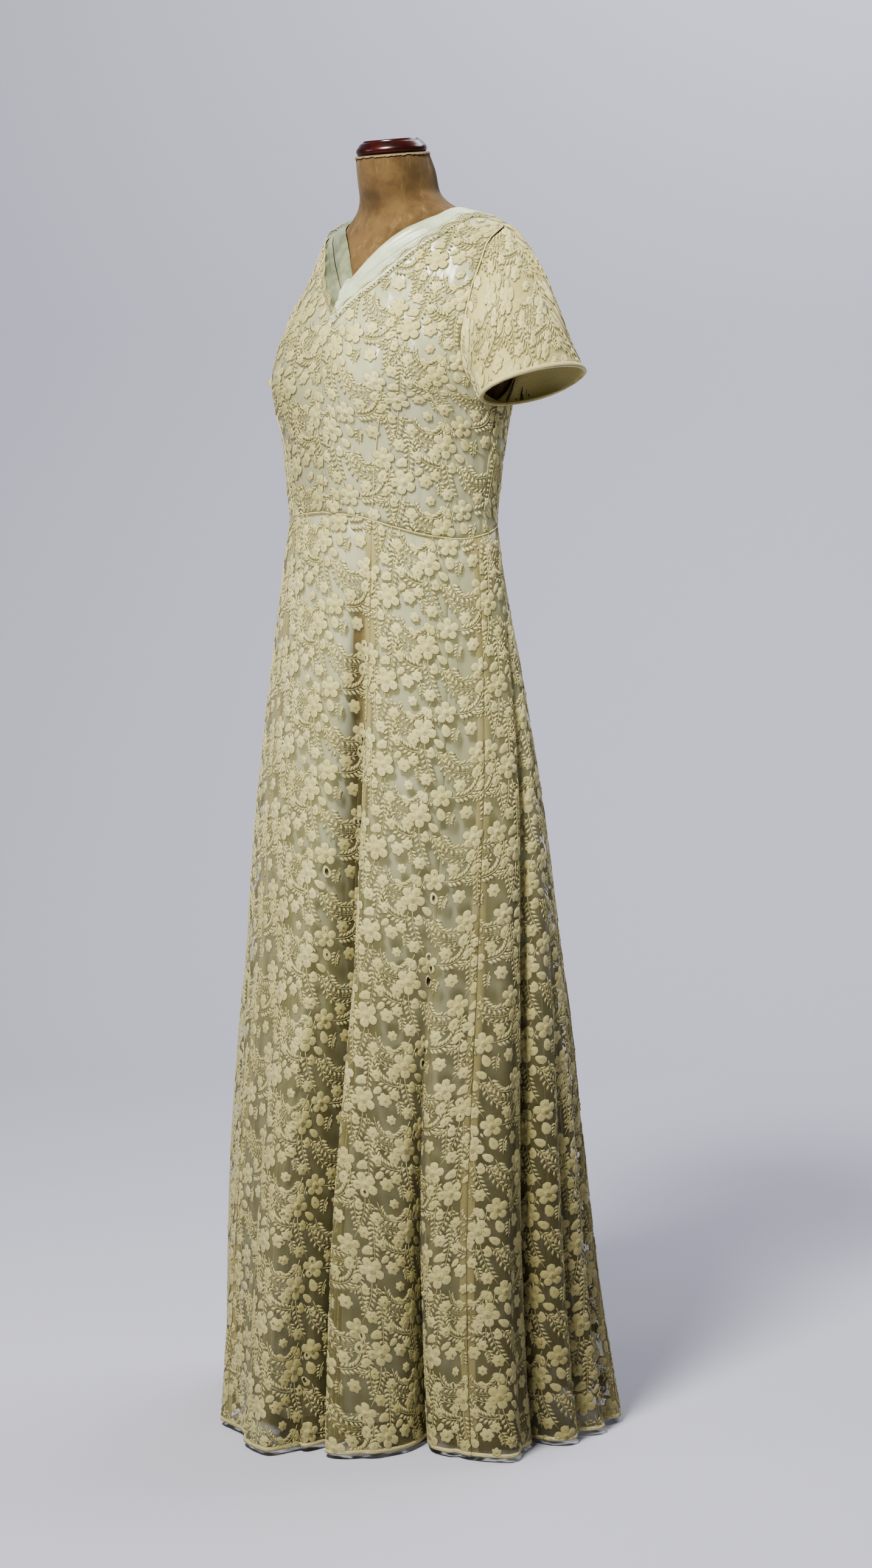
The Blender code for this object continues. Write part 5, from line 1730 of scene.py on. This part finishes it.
def net_look(groups):
    look = Look("Lace net")
    mottle = look.group(groups["mottle"], Colour=srgb(CREAM), Other=srgb(PALE_CREAM), Scale=20.0, Amount=0.6)
    mesh = look.group(groups["net"], Pitch=NET_PITCH, Thread=NET_THREAD)
    # Painted shade: the net darkens low down, at the sides and in the deep fold
    dark = shade_share(look, look.place(), NET_SHADE)
    look.paint(look.mix(dark, mottle["Colour"], srgb(THREAD_SHADE)))
    look.cut_out(mesh["Thread"])
    look.set(Roughness=0.7, Sheen_Weight=0.2)
    return look.material


def seam_look(groups):
    """A denser net, for the lace that is turned in along a seam."""
    look = Look("Turned lace")
    look.set(Base_Color=srgb(TURNED_CREAM), Roughness=0.7)
    look.cut_out(look.group(groups["net"], Pitch=NET_PITCH, Thread=SEAM_THREAD)["Thread"])
    return look.material


def lining_look(groups):
    """Satin that is puckered up and down, with painted shade low down, on the sides and in the deep fold."""
    look = cloth_look("Lining satin", groups, LINING_WEAVE)
    place = look.place()
    look.paint(look.mix(shade_share(look, place, LINING_SHADE), look.colour, srgb(SLIP_SHADE)))
    look.set(Specular_IOR_Level=0.75)
    puckers = look.noise(look.stretch(place, (34.0, 34.0, 7.0)), 1.0, 2.0)
    look.bump(puckers, 0.012, 0.9)
    return look.material


def satin_look(groups):
    look = cloth_look("Band satin", groups, SATIN_WEAVE)
    look.set(Specular_IOR_Level=0.75, Anisotropic=0.45)
    return look.material


def shaded_satin_look(groups):
    """Band satin with painted shade in front, for the bands under the others, fading to pale at the back."""
    look = cloth_look("Shaded satin", groups, SHADED_WEAVE)
    depth = look.parts(look.place())[1]
    look.paint(look.mix(look.span(depth, -0.02, 0.05), look.colour, srgb(SATIN_WHITE)))
    return look.material


def cover_look(groups):
    """The form's old cover, with worn pale streaks down it."""
    look = Look("Form cover")
    mottle = look.group(groups["mottle"], Colour=srgb(COVER_BROWN), Other=srgb(COVER_PALE),
                        Scale=26.0, Amount=0.75)
    look.set(Roughness=0.95, Sheen_Weight=0.08, Specular_IOR_Level=0.2)
    place = look.place()
    streaks = look.noise(look.stretch(place, (70.0, 70.0, 9.0)), 1.0, 5.0, Roughness=0.7)
    worn = look.span(streaks, 0.52, 0.76, 0.0, 0.35)
    look.paint(look.mix(worn, mottle["Colour"], srgb(FRAYED)))
    look.bump(look.noise(place, 900.0, 2.0), 0.0003, 0.6)
    return look.material


def wood_look():
    look = Look("Turned wood")
    grain = look.noise(look.place(), 30.0, 5.0, Distortion=1.2)
    look.paint(look.mix(look.span(grain, 0.38, 0.66), srgb(CAP_RED), srgb(CAP_DARK)))
    look.set(Roughness=0.28, Coat_Weight=0.2, Coat_Roughness=0.2)
    return look.material


def iron_look():
    look = Look("Painted iron")
    look.set(Base_Color=srgb(IRON_BLACK), Roughness=0.42)
    look.bump(look.noise(look.place(), 260.0, 2.0), 0.0003, 0.5)
    return look.material


def make_looks():
    groups = {"mottle": mottle_group(), "net": net_group(), "stitches": thread_group()}
    return {
        "lace": lace_look(groups),
        "net": net_look(groups),
        "tape": cloth_look("Lace tape", groups, TAPE_WEAVE).material,
        "seam": seam_look(groups),
        "lining": lining_look(groups),
        "sleeve_lining": cloth_look("Sleeve lining", groups, SLEEVE_WEAVE).material,
        "satin": satin_look(groups),
        "satin_shaded": shaded_satin_look(groups),
        "form_cloth": cover_look(groups),
        "fray": cloth_look("Frayed edge", groups, FRAYED_WEAVE).material,
        "wood": wood_look(),
        "iron": iron_look(),
    }


def add_light(light):
    lamp = bpy.data.lights.new(light.name, "AREA")
    lamp.shape = "DISK"
    lamp.size = light.size
    lamp.energy = light.energy
    lamp.color = light.colour
    piece = bpy.data.objects.new(light.name, lamp)
    piece.location = light.place
    toward = Vector(light.target) - Vector(light.place)
    piece.rotation_euler = toward.to_track_quat("-Z", "Y").to_euler()
    bpy.context.collection.objects.link(piece)


def make_view():
    """The photo's camera, the studio's lights and the dim light of its room."""
    camera = bpy.data.cameras.new("photo_camera")
    camera.lens = CAMERA_LENS
    camera.sensor_width = 36.0
    piece = bpy.data.objects.new("photo_camera", camera)
    piece.location = CAMERA_PLACE
    turn = math.radians(CAMERA_AZIMUTH)
    yaw = math.radians(CAMERA_YAW)
    pitch = math.radians(CAMERA_PITCH)
    toward = Vector((-math.sin(turn), math.cos(turn), 0.0))
    right = Vector((math.cos(turn), math.sin(turn), 0.0))
    level = math.cos(yaw) * toward + math.sin(yaw) * right
    forward = math.cos(pitch) * level - math.sin(pitch) * Vector((0.0, 0.0, 1.0))
    piece.rotation_euler = forward.to_track_quat("-Z", "Y").to_euler()
    bpy.context.collection.objects.link(piece)
    bpy.context.scene.camera = piece
    for light in LIGHTS:
        add_light(light)
    world = bpy.data.worlds.new("studio")
    world.use_nodes = True
    world.node_tree.nodes["Background"].inputs["Color"].default_value = ROOM_COLOUR
    world.node_tree.nodes["Background"].inputs["Strength"].default_value = ROOM_STRENGTH
    bpy.context.scene.world = world
    bpy.context.scene.view_settings.look = "AgX - Medium High Contrast"


def make_stage():
    """A pale floor that curves up into the wall behind. From outside, the paper can be seen through."""
    line = [(PAPER_NEAR, 0.0), (PAPER_FAR, 0.0)]
    for turn in np.linspace(0.1, math.pi / 2, 14):
        line.append((PAPER_FAR + PAPER_BEND * math.sin(turn), PAPER_BEND - PAPER_BEND * math.cos(turn)))
    line = np.array(line + [(PAPER_FAR + PAPER_BEND, PAPER_TOP)])
    turn = math.radians(CAMERA_AZIMUTH)
    toward = np.array([-math.sin(turn), math.cos(turn)])
    aside = np.array([toward[1], -toward[0]])
    spread = np.array([-PAPER_HALF_WIDTH, PAPER_HALF_WIDTH])
    points = np.zeros((len(line), 2, 3))
    points[..., :2] = line[:, 0, None, None] * toward + spread[None, :, None] * aside
    points[..., 2] = line[:, 1, None]
    look = Look("Studio paper")
    look.set(Base_Color=srgb(BACKGROUND), Roughness=0.95, Specular_IOR_Level=0.1)
    behind = look.add("ShaderNodeNewGeometry").outputs["Backfacing"]
    look.cut_out(look.math("SUBTRACT", 1.0, behind))
    link("studio_backdrop", grid_mesh("studio_backdrop", points, points[..., :2]), look.material)


def main():
    looks = make_looks()
    lace = make_repeat()
    make_form(looks)
    make_bodice(lace, looks)
    make_neck_bands(looks)
    make_neck_edges(looks)
    make_seams(looks)
    make_sleeves(lace, looks)
    make_skirt(lace, looks)
    make_stage()
    make_view()


main()
